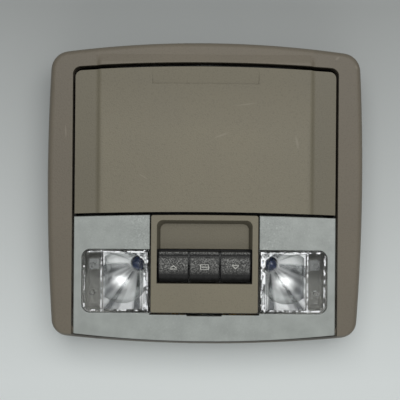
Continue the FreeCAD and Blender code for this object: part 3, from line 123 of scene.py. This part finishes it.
# Stage: soft lights with name, place, size in metres and watts, then sky and floor
SOFT_LIGHTS = (
    ("key", (0.1, 0.42, 1.25), (1.3, 0.85), 10.0),
    ("fill", (0.1, -1.0, 0.8), (1.4, 0.5), 3.0),
)
SKY_COLOUR = (0.95, 0.97, 1.0, 1.0)
SKY_STRENGTH = 0.27
FLOOR_HALF = 6.0
FLOOR_FADE = 150 * MM
CAMERA_NEAR = 10 * MM


def linear(red, green, blue):
    """Colour written as screen values from 0 to 255, as the renderer's linear values."""
    values = []
    for part in (red, green, blue):
        share = part / 255
        values.append(share / 12.92 if share <= 0.04045 else ((share + 0.055) / 1.055) ** 2.4)
    return tuple(values)


def middle(node):
    """Middle of a CAD node's box."""
    low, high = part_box(node)
    return (low + high) / 2


def opaque(colour, share=1.0):
    """Colour with full cover, made darker or lighter by share."""
    return tuple(part * share for part in colour[:3]) + (1.0,)


def colour_property(name, words, red, green, blue):
    """Colour that a user may change."""
    return bpy.props.FloatVectorProperty(name=name, description=words, subtype="COLOR", size=3,
                                         min=0.0, max=1.0, default=linear(red, green, blue))


class ConsoleColours(bpy.types.PropertyGroup):
    """Colours of the console's finishes and of the stage."""

    taupe: colour_property("Taupe", "Grained plastic of bin door and switch plate", 125, 119, 101)
    bezel: colour_property("Bezel", "Grained plastic of the bezel", 124, 116, 101)
    worn: colour_property("Worn", "Rubbed and scuffed places of the taupe plastic", 158, 151, 136)
    black: colour_property("Black", "Plain black plastic behind the face", 26, 26, 27)
    rocker: colour_property("Rocker", "Black of the rocker switches", 24, 24, 23)
    print_ink: colour_property("Print", "Pale symbols on the rockers", 204, 204, 196)
    frost: colour_property("Frost", "Frosted courtesy lens", 160, 165, 160)
    bulb_blue: colour_property("Bulb", "Blue tint of the map bulbs", 74, 100, 160)
    white: colour_property("White", "Lamp housing", 214, 214, 208)
    brass: colour_property("Brass", "Contacts and wiring strip of the lamps", 196, 160, 92)
    rubber: colour_property("Rubber", "Stop pads of the bin", 24, 24, 24)
    silicone: colour_property("Silicone", "Dome mat and map switches", 176, 178, 176)
    board: colour_property("Board", "Circuit board of the rockers", 38, 92, 56)
    felt: colour_property("Felt", "Liner of the bin", 58, 57, 56)
    steel: colour_property("Steel", "Plated hinge pins, screws and roof clips", 190, 188, 180)
    dark_steel: colour_property("Dark steel", "Blackened pivot pin of the rockers", 52, 52, 54)
    # Floor colours carry a painted fall-off of light: lighter at the lamp end, darker beyond the free end
    floor_far: colour_property("Floor far", "Floor beyond the free end of the bin door", 162, 165, 163)
    floor_near: colour_property("Floor near", "Floor at the lamp end", 228, 233, 231)
    backdrop: colour_property("Backdrop", "Seen beyond the edge of the floor", 128, 131, 130)


class ConsoleSizes(bpy.types.PropertyGroup):
    """Sizes of grain, edges and the view."""

    grain: bpy.props.FloatProperty(name="Grain", description="Size of the moulded grain", unit="LENGTH",
                                   default=0.9 * MM, min=0.1 * MM)
    grain_depth: bpy.props.FloatProperty(name="Grain depth", description="Depth of the moulded grain",
                                         unit="LENGTH", default=0.12 * MM, min=0.0)
    soft_edge: bpy.props.FloatProperty(name="Edge", description="Radius of the moulded edges", unit="LENGTH",
                                       default=0.7 * MM, min=0.0)
    view_height: bpy.props.FloatProperty(name="View height", description="Camera above the face",
                                         unit="LENGTH", default=595 * MM, min=0.1)
    view_width: bpy.props.FloatProperty(name="View width", description="Width seen at the face",
                                        unit="LENGTH", default=297.6 * MM, min=0.1)
    view_right: bpy.props.FloatProperty(name="View right", description="Camera right of the middle",
                                        unit="LENGTH", default=-3.7 * MM)
    view_up: bpy.props.FloatProperty(name="View up", description="Camera towards the free end of the door",
                                     unit="LENGTH", default=-5.2 * MM)
    view_roll: bpy.props.FloatProperty(name="View roll", description="Turn of the camera about its axis",
                                       subtype="ANGLE", default=math.radians(0.45))


class Value:
    """Output of a shader node that takes part in Python arithmetic."""

    def __init__(self, shading, socket):
        self.shading = shading
        self.socket = socket

    def math(self, operation, *terms):
        """Math node on this value and the given ones."""
        return self.shading.node("ShaderNodeMath", {"operation": operation}, dict(enumerate((self,) + terms)))

    def after(self, operation, first):
        """Math node with this value as its second term."""
        return self.shading.node("ShaderNodeMath", {"operation": operation}, {0: first, 1: self})

    def __add__(self, other):
        return self.math("ADD", other)

    def __radd__(self, other):
        return self.after("ADD", other)

    def __sub__(self, other):
        return self.math("SUBTRACT", other)

    def __rsub__(self, other):
        return self.after("SUBTRACT", other)

    def __mul__(self, other):
        return self.math("MULTIPLY", other)

    def __rmul__(self, other):
        return self.after("MULTIPLY", other)

    def __truediv__(self, other):
        return self.math("DIVIDE", other)

    def __rtruediv__(self, other):
        return self.after("DIVIDE", other)

    def __lt__(self, other):
        return self.math("LESS_THAN", other)

    def __gt__(self, other):
        return self.math("GREATER_THAN", other)

    def __abs__(self):
        return self.math("ABSOLUTE")

    def largest(self, other):
        """The larger of two values."""
        return self.math("MAXIMUM", other)


class Shading:
    """Node tree whose nodes come from one method."""

    def __init__(self, tree):
        self.tree = tree

    def node(self, kind, settings=None, inputs=None, output=0):
        """New node: settings first, then values or links of its inputs."""
        node = self.tree.nodes.new(kind)
        for key, value in (settings or {}).items():
            setattr(node, key, value)
        for key, value in (inputs or {}).items():
            self.feed(node.inputs[key], value)
        return Value(self, node.outputs[output])

    def feed(self, socket, value):
        """Link a value to a socket, or set the socket's own number or colour."""
        if isinstance(value, Value):
            self.tree.links.new(value.socket, socket)
        else:
            socket.default_value = value


class Finish(Shading):
    """One procedural material, with the patterns that the console's finishes share."""

    def __init__(self, name):
        self.material = bpy.data.materials.new(name)
        self.material.use_nodes = True
        super().__init__(self.material.node_tree)
        self.tree.nodes.clear()
        self.shader = self.tree.nodes.new("ShaderNodeBsdfPrincipled")
        surface = self.tree.nodes.new("ShaderNodeOutputMaterial")
        self.tree.links.new(self.shader.outputs["BSDF"], surface.inputs["Surface"])
        self.points = self.node("ShaderNodeTexCoord", output="Object")

    def set(self, **inputs):
        """Feed the shader's sockets; underscores stand for spaces."""
        for key, value in inputs.items():
            self.feed(self.shader.inputs[key.replace("_", " ")], value)

    def split(self):
        """X, Y and Z of the piece's own coordinates, in metres."""
        first = self.node("ShaderNodeSeparateXYZ", None, {0: self.points})
        return [Value(self, output) for output in first.socket.node.outputs]

    def noise(self, size, detail=2.0, stretch=None):
        """Cloudy pattern with features of the given size in metres, from 0 to 1."""
        points = self.points
        if stretch is not None:
            points = self.node("ShaderNodeVectorMath", {"operation": "MULTIPLY"}, {0: points, 1: stretch})
        inputs = {"Vector": points, "Scale": 1 / size, "Detail": detail}
        return self.node("ShaderNodeTexNoise", None, inputs, "Fac")

    def pebbles(self, size):
        """Pebbled grain with cells of the given size in metres."""
        return self.node("ShaderNodeTexVoronoi", {"feature": "SMOOTH_F1"},
                         {"Vector": self.points, "Scale": 1 / size}, "Distance")

    def ramp(self, value, low, high, to_low=0.0, to_high=1.0):
        """Straight ramp between two levels, held beyond them."""
        return self.node("ShaderNodeMapRange", None, {0: value, 1: low, 2: high, 3: to_low, 4: to_high})

    def spread(self, noise, to_low=0.0, to_high=1.0):
        """Noise spread over a range, so that its usual levels reach both ends."""
        return self.ramp(noise, NOISE_LOW, NOISE_HIGH, to_low, to_high)

    def blend(self, first, second, share):
        """Mix of two colours."""
        return self.node("ShaderNodeMix", {"data_type": "RGBA"}, {0: share, 6: first, 7: second}, 2)

    def mottled(self, colour, dark, light, pattern):
        """Colour that goes from a dark to a light share of itself as the pattern rises."""
        return self.blend(opaque(colour, dark), opaque(colour, light), pattern)

    def shade(self, colour, share, place):
        """Colour made darker by share where place is 1."""
        return self.node("ShaderNodeMix", {"data_type": "RGBA", "blend_type": "MULTIPLY"},
                         {0: place, 6: colour, 7: (share, share, share, 1.0)}, 2)

    def rounded(self, radius):
        """Normal that softens sharp edges."""
        return self.node("ShaderNodeBevel", {"samples": 6}, {"Radius": radius})

    def bump(self, height, depth, strength=1.0, normal=None):
        """Relief of the given depth in metres."""
        inputs = {"Strength": strength, "Distance": depth, "Height": height}
        if normal is not None:
            inputs["Normal"] = normal
        return self.node("ShaderNodeBump", None, inputs)

    def dot(self, first, second):
        """Dot product of two directions."""
        return self.node("ShaderNodeVectorMath", {"operation": "DOT_PRODUCT"}, {0: first, 1: second}, "Value")

    def level(self):
        """1 on level faces, 0 on standing ones."""
        facing = self.node("ShaderNodeNewGeometry", output="Normal")
        return abs(self.dot(facing, (0, 0, 1)))

    def edge_wear(self, radius):
        """Share of rubbed edge: where a softened normal leaves the true one."""
        soft = self.rounded(radius)
        true = self.node("ShaderNodeNewGeometry", output="Normal")
        return self.ramp(1 - self.dot(soft, true), 0.02, 0.25)


def dress(material, *names):
    """Give CAD nodes a material."""
    for name in names:
        piece = NODES[name]
        if not piece.material_slots:
            piece.data.materials.append(material)
        for slot in piece.material_slots:
            slot.material = material


def line(value, place, half):
    """1 where a value lies within half of a place, else 0."""
    return abs(value - place) < half


def spot(finish, x, y, centre, half, turn):
    """Soft oval patch at a place on the face: 1 in its middle, 0 beyond its edge."""
    right = x - centre[0]
    up = y - centre[1]
    along = (right * math.cos(turn) + up * math.sin(turn)) / half[0]
    across = (up * math.cos(turn) - right * math.sin(turn)) / half[1]
    return finish.ramp(along * along + across * across, 0.0, 1.0, 1.0, 0.0)


def painted_shade_places(finish, x, y):
    """Share of painted shade: beyond the creases of the bin door and towards its free end."""
    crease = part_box("map_lens_right")[1].x - CREASE_INSET
    free_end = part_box("bin_door")[1].y
    sides = finish.ramp(abs(x), crease - CREASE_FADE_IN, crease + CREASE_FADE_OUT)
    return sides.largest(finish.ramp(y, free_end - END_FADE_START, free_end - END_FADE_STOP, 0.0, 0.8))


def lip_shadow(finish, x, y, z, lip):
    """Share of shadow on the low side of the bezel, under the corner lip of the frosted lens."""
    under = finish.ramp(z, lip.z - LIP_SHADOW_FOOT, lip.z - LIP_SHADOW_TOP, 0.0, 0.9) * (z < lip.z)
    near = finish.ramp(y, lip.y + LIP_SHADOW_NEAR, lip.y + LIP_SHADOW_FAR, 1.0, 0.0)
    within = finish.ramp(abs(x), lip.x, lip.x + LIP_SHADOW_SIDE, 1.0, 0.0)
    return under * near * within


def taupe_plastic(name, colour, colours, sizes, scuffs, sunk=None, lip=None):
    """Grained taupe plastic with rubbed edges and scuffs.

    It carries painted shade beyond the door's creases and towards its free end, more painted shade below the
    height sunk with darker walls, and a painted shadow under the lens corner lip.
    """
    finish = Finish(name)
    x, y, z = finish.split()
    cloud = finish.noise(60 * MM)
    fleck = finish.noise(1.1 * MM)
    base = finish.mottled(colour, 0.95, 1.06, finish.spread(cloud))
    base = finish.blend(base, opaque(colour, 0.6), finish.ramp(fleck, 0.52, 0.78, 0.0, 0.4))
    # Painted shade beyond the door's creases and towards its free end
    painted_shade = painted_shade_places(finish, x, y)
    if sunk is not None:
        # Painted shade down in the recess, darker still on its standing walls
        painted_shade = painted_shade.largest(finish.ramp(z, sunk, sunk + RECESS_FADE, 1.0, 0.0))
        base = finish.shade(base, 0.5, finish.ramp(finish.level(), 0.6, 0.92, 0.9, 0.0))
    base = finish.shade(base, 0.79, painted_shade)
    patches = finish.ramp(finish.noise(6 * MM, 3.0), 0.35, 0.7, 0.1, 0.5)
    wear = finish.edge_wear(sizes.soft_edge * 1.6) * patches
    if lip is not None:
        shadow = lip_shadow(finish, x, y, z, lip)
        base = finish.shade(base, 0.12, shadow)
        wear = wear * (1 - shadow)
    for centre, half, turn in scuffs:
        wear = wear.largest(spot(finish, x, y, centre, half, math.radians(turn)) * fleck * 0.55)
    base = finish.blend(base, opaque(colours.worn), wear)
    grain = finish.pebbles(sizes.grain) + finish.noise(sizes.grain * 0.5) * 0.5
    finish.set(Base_Color=base, Roughness=finish.spread(cloud, 0.5, 0.58),
               Normal=finish.bump(grain, sizes.grain_depth, 0.8, finish.rounded(sizes.soft_edge)))
    finish.set(Specular_IOR_Level=0.4)
    return finish.material


def plain_plastic(name, colour, sizes, roughness, grain=0.7 * MM):
    """Moulded plastic with a faint grain and cloudy gloss."""
    finish = Finish(name)
    cloud = finish.noise(20 * MM, 3.0)
    edges = finish.rounded(sizes.soft_edge * 0.5)
    finish.set(Base_Color=finish.mottled(colour, 0.93, 1.07, finish.spread(cloud)),
               Roughness=finish.spread(cloud, roughness - 0.06, roughness + 0.06),
               Normal=finish.bump(finish.noise(grain), 0.05 * MM, 0.6, edges))
    return finish.material


def bar(x, y, height, half_width):
    """Short level line."""
    return line(y, height, BAR_STROKE_HALF) * (abs(x) < half_width)


def arrow(x, y, up):
    """Arrow head over a bar: towards the free end of the door where up is 1, away where it is -1."""
    head = line(y * up + abs(x) * ARROW_SLOPE, ARROW_TIP, ARROW_STROKE_HALF) * (abs(x) < ARROW_HALF_WIDTH)
    return head.largest(bar(x, y, -up * ARROW_BAR_OFFSET, ARROW_BAR_HALF_WIDTH))


def panel_outline(x, y):
    """Outline of a roof panel seen from above, with a line across it."""
    reach = (abs(x) / PANEL_HALF_WIDTH).largest(abs(y) / PANEL_HALF_HEIGHT)
    ring = (reach < 1.0) * (reach > PANEL_INNER_SHARE)
    return ring.largest(bar(x, y, 0.0, PANEL_BAR_HALF_WIDTH))


def rocker_plastic(name, node, colours, sizes, symbol):
    """Black grained plastic: painted sheen of bright flecks on the crest, painted shade in the groove and
    along the side edges, one pale symbol.
    """
    finish = Finish(name)
    x, y, z = finish.split()
    low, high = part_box(node)
    centre = middle(node)
    across = x - centre.x
    tone = finish.noise(4 * MM, 3.0)
    fleck = finish.noise(0.9 * MM)
    base = finish.mottled(colours.rocker, 0.7, 1.5, finish.spread(tone))
    # Painted sheen: bright flecks on the crest below the top
    crest = finish.ramp(z, high.z - CREST_FOOT, high.z - CREST_TOP)
    base = finish.blend(base, opaque(colours.rocker, 30.0), finish.ramp(fleck, 0.44, 0.66, 0.1, 0.95) * crest)
    half = (high.x - low.x) / 2
    # Painted shade in the groove and along the side edges, between the rockers
    sides = finish.ramp(abs(across), half - SIDE_DARK_START, half - SIDE_DARK_STOP)
    base = finish.shade(base, 0.2, line(y, high.y - GROOVE_INSET, GROOVE_HALF).largest(sides))
    rubbed = symbol(across, y - centre.y) * finish.ramp(finish.noise(1.2 * MM, 3.0), 0.3, 0.6, 0.5, 1.0)
    base = finish.blend(base, opaque(colours.print_ink), rubbed)
    grain = finish.pebbles(sizes.grain * 0.8)
    finish.set(Base_Color=base, Roughness=finish.spread(fleck, 0.46, 0.6),
               Normal=finish.bump(grain, sizes.grain_depth, 0.9, finish.rounded(sizes.soft_edge)))
    finish.set(Specular_IOR_Level=0.35)
    return finish.material


def frosted_lens(colours, sizes):
    """Milky plastic with a fine prism frost, coarser beside the switch plate."""
    finish = Finish("frosted_lens")
    x, y, _ = finish.split()
    cloud = finish.noise(12 * MM, 3.0)
    sparkle = finish.noise(1.2 * MM)
    plate_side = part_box("switch_plate")[1].x
    near_plate = finish.ramp(abs(x), plate_side, plate_side + FROST_REACH, 1.0, 0.25)
    upper = finish.ramp(y, middle("map_lens_left").y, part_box("map_lens_left")[1].y, 0.25, 1.0)
    coarse = near_plate * upper
    base = finish.mottled(colours.frost, 0.9, 1.08, finish.spread(cloud))
    base = finish.blend(base, opaque(colours.frost, 0.62), finish.ramp(sparkle, 0.45, 0.75) * coarse * 0.75)
    speck = finish.ramp(finish.noise(1.6 * MM), 0.58, 0.72) * coarse * 0.7
    base = finish.blend(base, opaque(colours.frost, 1.5), speck)
    frost = sparkle + finish.pebbles(0.9 * MM) * 0.6
    finish.set(Base_Color=base, Roughness=finish.spread(sparkle, 0.28, 0.46),
               Normal=finish.bump(frost, 0.12 * MM, 0.5, finish.rounded(sizes.soft_edge)))
    finish.set(Coat_Weight=0.25, Coat_Roughness=0.15)
    return finish.material


def lens_glints(finish, x, y, z):
    """Broken glints on the top plate: along the rim, over the reflector's edge and over the ribs."""
    low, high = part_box("map_lens_right")
    across = abs(x) - (low.x + high.x) / 2
    along = y - (low.y + high.y) / 2
    reach = (abs(across) - (high.x - low.x) / 2).largest(abs(along) - (high.y - low.y) / 2 + RIM_END_INSET)
    broken = finish.ramp(finish.noise(4 * MM), 0.44, 0.58)
    rim = line(reach, -RIM_GLINT_INSET, RIM_GLINT_HALF) * broken
    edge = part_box("reflector_right")[0].x + REFLECTOR_GLINT_INSET
    bowl = line(abs(x), edge, REFLECTOR_GLINT_HALF) * finish.ramp(broken, 0.0, 1.0, 0.35, 0.9)
    dashes = finish.ramp(finish.noise(1.6 * MM, 1.0, stretch=(0.4, 0.3, 0.4)), 0.5, 0.6)
    ribs = line(abs(x), low.x + RIB_GLINT_INSET, RIB_GLINT_HALF) * dashes
    return rim.largest(bowl).largest(ribs) * (z > high.z - LENS_TOP_DEPTH)


def clear_lens(sizes):
    """Clear polished plastic with slight waves, haze, scratches and glints."""
    finish = Finish("clear_lens")
    glint = lens_glints(finish, *finish.split())
    haze = finish.noise(8 * MM, 3.0)
    wall = finish.ramp(finish.level(), 0.45, 0.95, 1.0, 0.0)
    scratch = finish.noise(0.6 * MM, stretch=(1.0, 0.06, 1.0))
    waves = finish.noise(9 * MM, 1.0)
    finish.set(Base_Color=finish.blend(HAZY_LENS, BRIGHT_LENS, haze), Metallic=glint,
               Roughness=finish.ramp(scratch, 0.55, 0.8, 0.02, 0.14).largest(glint * 0.5),
               Alpha=wall.largest(finish.spread(haze, 0.38, 0.48)).largest(glint),
               Normal=finish.bump(waves, 0.25 * MM, 0.35, finish.rounded(sizes.soft_edge)))
    finish.set(Transmission_Weight=1.0, IOR=1.46)
    return finish.material


def chrome():
    """Metallised plastic with painted reflections: dim and bright streaks that fan out from the bulb, and a
    painted highlight ring round it.
    """
    finish = Finish("reflector_chrome")
    x, y, _ = finish.split()
    bulb = middle("map_bulb_right")
    across = abs(x) - bulb.x
    along = y - bulb.y
    turn = along.math("ARCTAN2", across)
    streak = finish.node("ShaderNodeTexNoise", {"noise_dimensions": "1D"},
                         {"W": turn, "Scale": 2.7, "Detail": 1.0})
    from_bulb = (across * across + along * along).math("SQRT")
    # Painted reflections: bright streaks from the bulb and a highlight ring round it
    bright = finish.ramp(streak, 0.44, 0.56).largest(line(from_bulb, BULB_RING_R, BULB_RING_HALF))
    haze = finish.noise(3 * MM, 3.0)
    finish.set(Base_Color=finish.blend(DULL_CHROME, BRIGHT_CHROME, bright * 0.85 + haze * 0.15),
               Roughness=finish.ramp(bright, 0.0, 1.0, 0.24, 0.44),
               Normal=finish.bump(finish.noise(7 * MM), 0.5 * MM, 0.5))
    finish.set(Metallic=1.0)
    return finish.material


def bulb_glass(name, colour, clearness):
    """Tinted lamp glass with a faint cloud."""
    finish = Finish(name)
    cloud = finish.noise(3 * MM)
    finish.set(Base_Color=finish.mottled(colour, 0.75, 1.2, cloud),
               Roughness=finish.spread(cloud, 0.03, 0.09))
    finish.set(Transmission_Weight=clearness, IOR=1.45, Coat_Weight=0.5)
    return finish.material


def metal(name, colour, roughness, stretch):
    """Plated or stamped metal with a drawn grain."""
    finish = Finish(name)
    drawn = finish.noise(1.2 * MM, 3.0, stretch=stretch)
    finish.set(Base_Color=finish.mottled(colour, 0.75, 1.1, drawn),
               Roughness=finish.spread(drawn, roughness - 0.08, roughness + 0.1),
               Normal=finish.bump(drawn, 0.03 * MM, 0.5, finish.rounded(0.2 * MM)))
    finish.set(Metallic=1.0)
    return finish.material


def felt(colours):
    """Needled felt."""
    finish = Finish("grey_felt")
    fibre = finish.noise(0.8 * MM, 4.0, stretch=(1.0, 0.35, 1.0))
    cloud = finish.noise(12 * MM, 3.0)
    finish.set(Base_Color=finish.mottled(colours.felt, 0.6, 1.5, fibre * 0.7 + cloud * 0.3),
               Roughness=finish.spread(fibre, 0.85, 0.98), Normal=finish.bump(fibre, 0.4 * MM, 0.9))
    finish.set(Sheen_Weight=0.4, Sheen_Roughness=0.6)
    return finish.material


class CONSOLE_OT_trim(bpy.types.Operator):
    """Grained taupe plastic on bezel, bin door and switch plate"""

    bl_idname = "console.trim"
    bl_label = "Trim"
    bl_options = {"REGISTER", "UNDO"}

    def execute(self, context):
        colours = context.scene.console_colours
        sizes = context.scene.console_sizes
        dress(taupe_plastic("taupe_plastic", colours.taupe, colours, sizes, DOOR_SCUFFS), "bin_door")
        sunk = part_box("switch_plate")[1].z - RECESS_DEPTH
        dress(taupe_plastic("plate_plastic", colours.taupe, colours, sizes, (), sunk=sunk), "switch_plate")
        low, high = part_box("diffuser_lens")
        lip = Vector((high.x, low.y, low.z))
        dress(taupe_plastic("bezel_plastic", colours.bezel, colours, sizes, BEZEL_SCUFFS, lip=lip),
              "trim_frame")
        return {"FINISHED"}


class CONSOLE_OT_rockers(bpy.types.Operator):
    """Black plastic and pale symbols on the three rockers"""

    bl_idname = "console.rockers"
    bl_label = "Rockers"
    bl_options = {"REGISTER", "UNDO"}

    def execute(self, context):
        colours = context.scene.console_colours
        sizes = context.scene.console_sizes
        symbols = {
            "rocker_left": lambda x, y: arrow(x, y, 1),
            "rocker_middle": panel_outline,
            "rocker_right": lambda x, y: arrow(x, y, -1),
        }
        for node, symbol in symbols.items():
            dress(rocker_plastic(node + "_plastic", node, colours, sizes, symbol), node)
        return {"FINISHED"}


class CONSOLE_OT_lenses(bpy.types.Operator):
    """Frosted courtesy lens and clear map lenses"""

    bl_idname = "console.lenses"
    bl_label = "Lenses"
    bl_options = {"REGISTER", "UNDO"}

    def execute(self, context):
        colours = context.scene.console_colours
        sizes = context.scene.console_sizes
        dress(frosted_lens(colours, sizes), "diffuser_lens")
        dress(clear_lens(sizes), "map_lens_left", "map_lens_right")
        return {"FINISHED"}


class CONSOLE_OT_lamps(bpy.types.Operator):
    """Reflectors, bulbs, their housing and brass contacts"""

    bl_idname = "console.lamps"
    bl_label = "Lamps"
    bl_options = {"REGISTER", "UNDO"}

    def execute(self, context):
        colours = context.scene.console_colours
        sizes = context.scene.console_sizes
        dress(chrome(), "reflector_left", "reflector_right")
        dress(bulb_glass("tinted_glass", colours.bulb_blue, 0.75), "map_bulb_left", "map_bulb_right")
        dress(bulb_glass("clear_glass", CLEAR_GLASS, 0.95), "dome_bulb")
        dress(plain_plastic("white_plastic", colours.white, sizes, 0.45), "lamp_housing")
        dress(metal("brass_strip", colours.brass, 0.32, (1.0, 0.1, 1.0)), "dome_bulb_contacts", "lamp_busbar")
        return {"FINISHED"}


class CONSOLE_OT_back(bpy.types.Operator):
    """Plastic, rubber and felt behind the face, from the bin's housing to the switches' board"""

    bl_idname = "console.back"
    bl_label = "Back"
    bl_options = {"REGISTER", "UNDO"}

    def execute(self, context):
        colours = context.scene.console_colours
        sizes = context.scene.console_sizes
        dress(plain_plastic("black_plastic", colours.black, sizes, 0.48),
              "bin_housing", "bin_tray", "switch_housing", "latch_body", "bin_striker", "switch_connector",
              "lamp_connector", "bulb_socket_left", "bulb_socket_right")
        dress(plain_plastic("black_rubber", colours.rubber, sizes, 0.75, 0.4 * MM), "bin_stop_pads")
        dress(plain_plastic("silicone_mat", colours.silicone, sizes, 0.6, 0.5 * MM),
              "dome_mat", "map_switch_left", "map_switch_right")
        dress(plain_plastic("board_green", colours.board, sizes, 0.35, 1.5 * MM), "switch_board")
        dress(felt(colours), "bin_liner")
        return {"FINISHED"}


class CONSOLE_OT_metal(bpy.types.Operator):
    """Plated steel of pins, screws and roof clips"""

    bl_idname = "console.metal"
    bl_label = "Metal"
    bl_options = {"REGISTER", "UNDO"}

    def execute(self, context):
        colours = context.scene.console_colours
        dress(metal("plated_steel", colours.steel, 0.34, (1.0, 1.0, 0.1)),
              "hinge_pin_left", "hinge_pin_right", "tray_screws", "housing_screws", "lamp_screws",
              "plate_screws", "mounting_clips")
        dress(metal("blackened_steel", colours.dark_steel, 0.5, (0.1, 1.0, 1.0)), "rocker_pivot_pin")
        return {"FINISHED"}


def floor_finish(colours):
    """Pale floor with a painted fall-off of light: darker beyond the free end of the bin door."""
    finish = Finish("pale_floor")
    _, y, _ = finish.split()
    reach = middle("trim_frame").y + FLOOR_FADE
    # Painted fall-off of light along the floor
    finish.set(Base_Color=finish.blend(opaque(colours.floor_near), opaque(colours.floor_far),
                                       finish.ramp(y, -reach, reach)),
               Roughness=finish.spread(finish.noise(50 * MM), 0.7, 0.85))
    finish.set(Specular_IOR_Level=0.2)
    return finish.material


def lay_floor(scene, colours):
    """Level floor under the console, large enough for low views."""
    half = FLOOR_HALF
    corners = [(-half, -half, 0), (half, -half, 0), (half, half, 0), (-half, half, 0)]
    mesh = bpy.data.meshes.new("floor")
    mesh.from_pydata(corners, [], [(0, 1, 2, 3)])
    mesh.materials.append(floor_finish(colours))
    floor = bpy.data.objects.new("floor", mesh)
    scene.collection.objects.link(floor)


def add_soft_light(scene, name, place, target, size, watts):
    """Soft rectangular light aimed at a point."""
    light = bpy.data.lights.new(name, "AREA")
    light.shape = "RECTANGLE"
    light.size, light.size_y = size
    light.energy = watts
    holder = bpy.data.objects.new(name, light)
    holder.location = place
    holder.rotation_euler = (Vector(target) - Vector(place)).to_track_quat("-Z", "Y").to_euler()
    scene.collection.objects.link(holder)


def light_sky(scene, colours):
    """Even light from all round, seen by the camera as a backdrop like the far floor."""
    scene.world = bpy.data.worlds.new("studio")
    scene.world.use_nodes = True
    shading = Shading(scene.world.node_tree)
    sky = shading.tree.nodes["Background"]
    shading.feed(sky.inputs["Color"], SKY_COLOUR)
    shading.feed(sky.inputs["Strength"], SKY_STRENGTH)
    backdrop = shading.node("ShaderNodeBackground", None, {"Color": opaque(colours.backdrop)})
    seen = shading.node("ShaderNodeLightPath", output="Is Camera Ray")
    chosen = shading.node("ShaderNodeMixShader", None,
                          {0: seen, 1: Value(shading, sky.outputs[0]), 2: backdrop})
    shading.feed(shading.tree.nodes["World Output"].inputs["Surface"], chosen)


def set_camera(scene, sizes):
    """Camera that looks straight down on the face."""
    camera = bpy.data.objects.new("camera", bpy.data.cameras.new("camera"))
    face_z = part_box("diffuser_lens")[1].z
    camera.location = (sizes.view_right, sizes.view_up, face_z + sizes.view_height)
    camera.rotation_euler = (0.0, 0.0, sizes.view_roll)
    camera.data.lens = camera.data.sensor_width * sizes.view_height / sizes.view_width
    camera.data.clip_start = CAMERA_NEAR
    scene.collection.objects.link(camera)
    scene.camera = camera


class CONSOLE_OT_stage(bpy.types.Operator):
    """Pale floor, soft light and the camera above the face"""

    bl_idname = "console.stage"
    bl_label = "Stage"
    bl_options = {"REGISTER", "UNDO"}

    def execute(self, context):
        scene = context.scene
        lay_floor(scene, scene.console_colours)
        target = middle("bin_door")
        for name, place, size, watts in SOFT_LIGHTS:
            add_soft_light(scene, name, place, target, size, watts)
        light_sky(scene, scene.console_colours)
        scene.view_settings.view_transform = "Standard"
        set_camera(scene, scene.console_sizes)
        return {"FINISHED"}


STEPS = (CONSOLE_OT_trim, CONSOLE_OT_rockers, CONSOLE_OT_lenses, CONSOLE_OT_lamps, CONSOLE_OT_back,
         CONSOLE_OT_metal, CONSOLE_OT_stage)


class CONSOLE_PT_panel(bpy.types.Panel):
    """Lists the steps in the sidebar"""

    bl_idname = "CONSOLE_PT_panel"
    bl_label = "Overhead console"
    bl_space_type = "VIEW_3D"
    bl_region_type = "UI"
    bl_category = "Console"

    def draw(self, context):
        for step in STEPS:
            self.layout.operator(step.bl_idname)


CLASSES = (ConsoleColours, ConsoleSizes) + STEPS + (CONSOLE_PT_panel,)


def register():
    """Make the classes and the scene's settings known."""
    for entry in CLASSES:
        bpy.utils.register_class(entry)
    bpy.types.Scene.console_colours = bpy.props.PointerProperty(type=ConsoleColours)
    bpy.types.Scene.console_sizes = bpy.props.PointerProperty(type=ConsoleSizes)


def unregister():
    """Take the classes and settings away again."""
    del bpy.types.Scene.console_sizes
    del bpy.types.Scene.console_colours
    for entry in reversed(CLASSES):
        bpy.utils.unregister_class(entry)


def main():
    """Dress the console."""
    register()
    bpy.ops.console.trim()
    bpy.ops.console.rockers()
    bpy.ops.console.lenses()
    bpy.ops.console.lamps()
    bpy.ops.console.back()
    bpy.ops.console.metal()
    bpy.ops.console.stage()


if __name__ == "__main__":
    main()
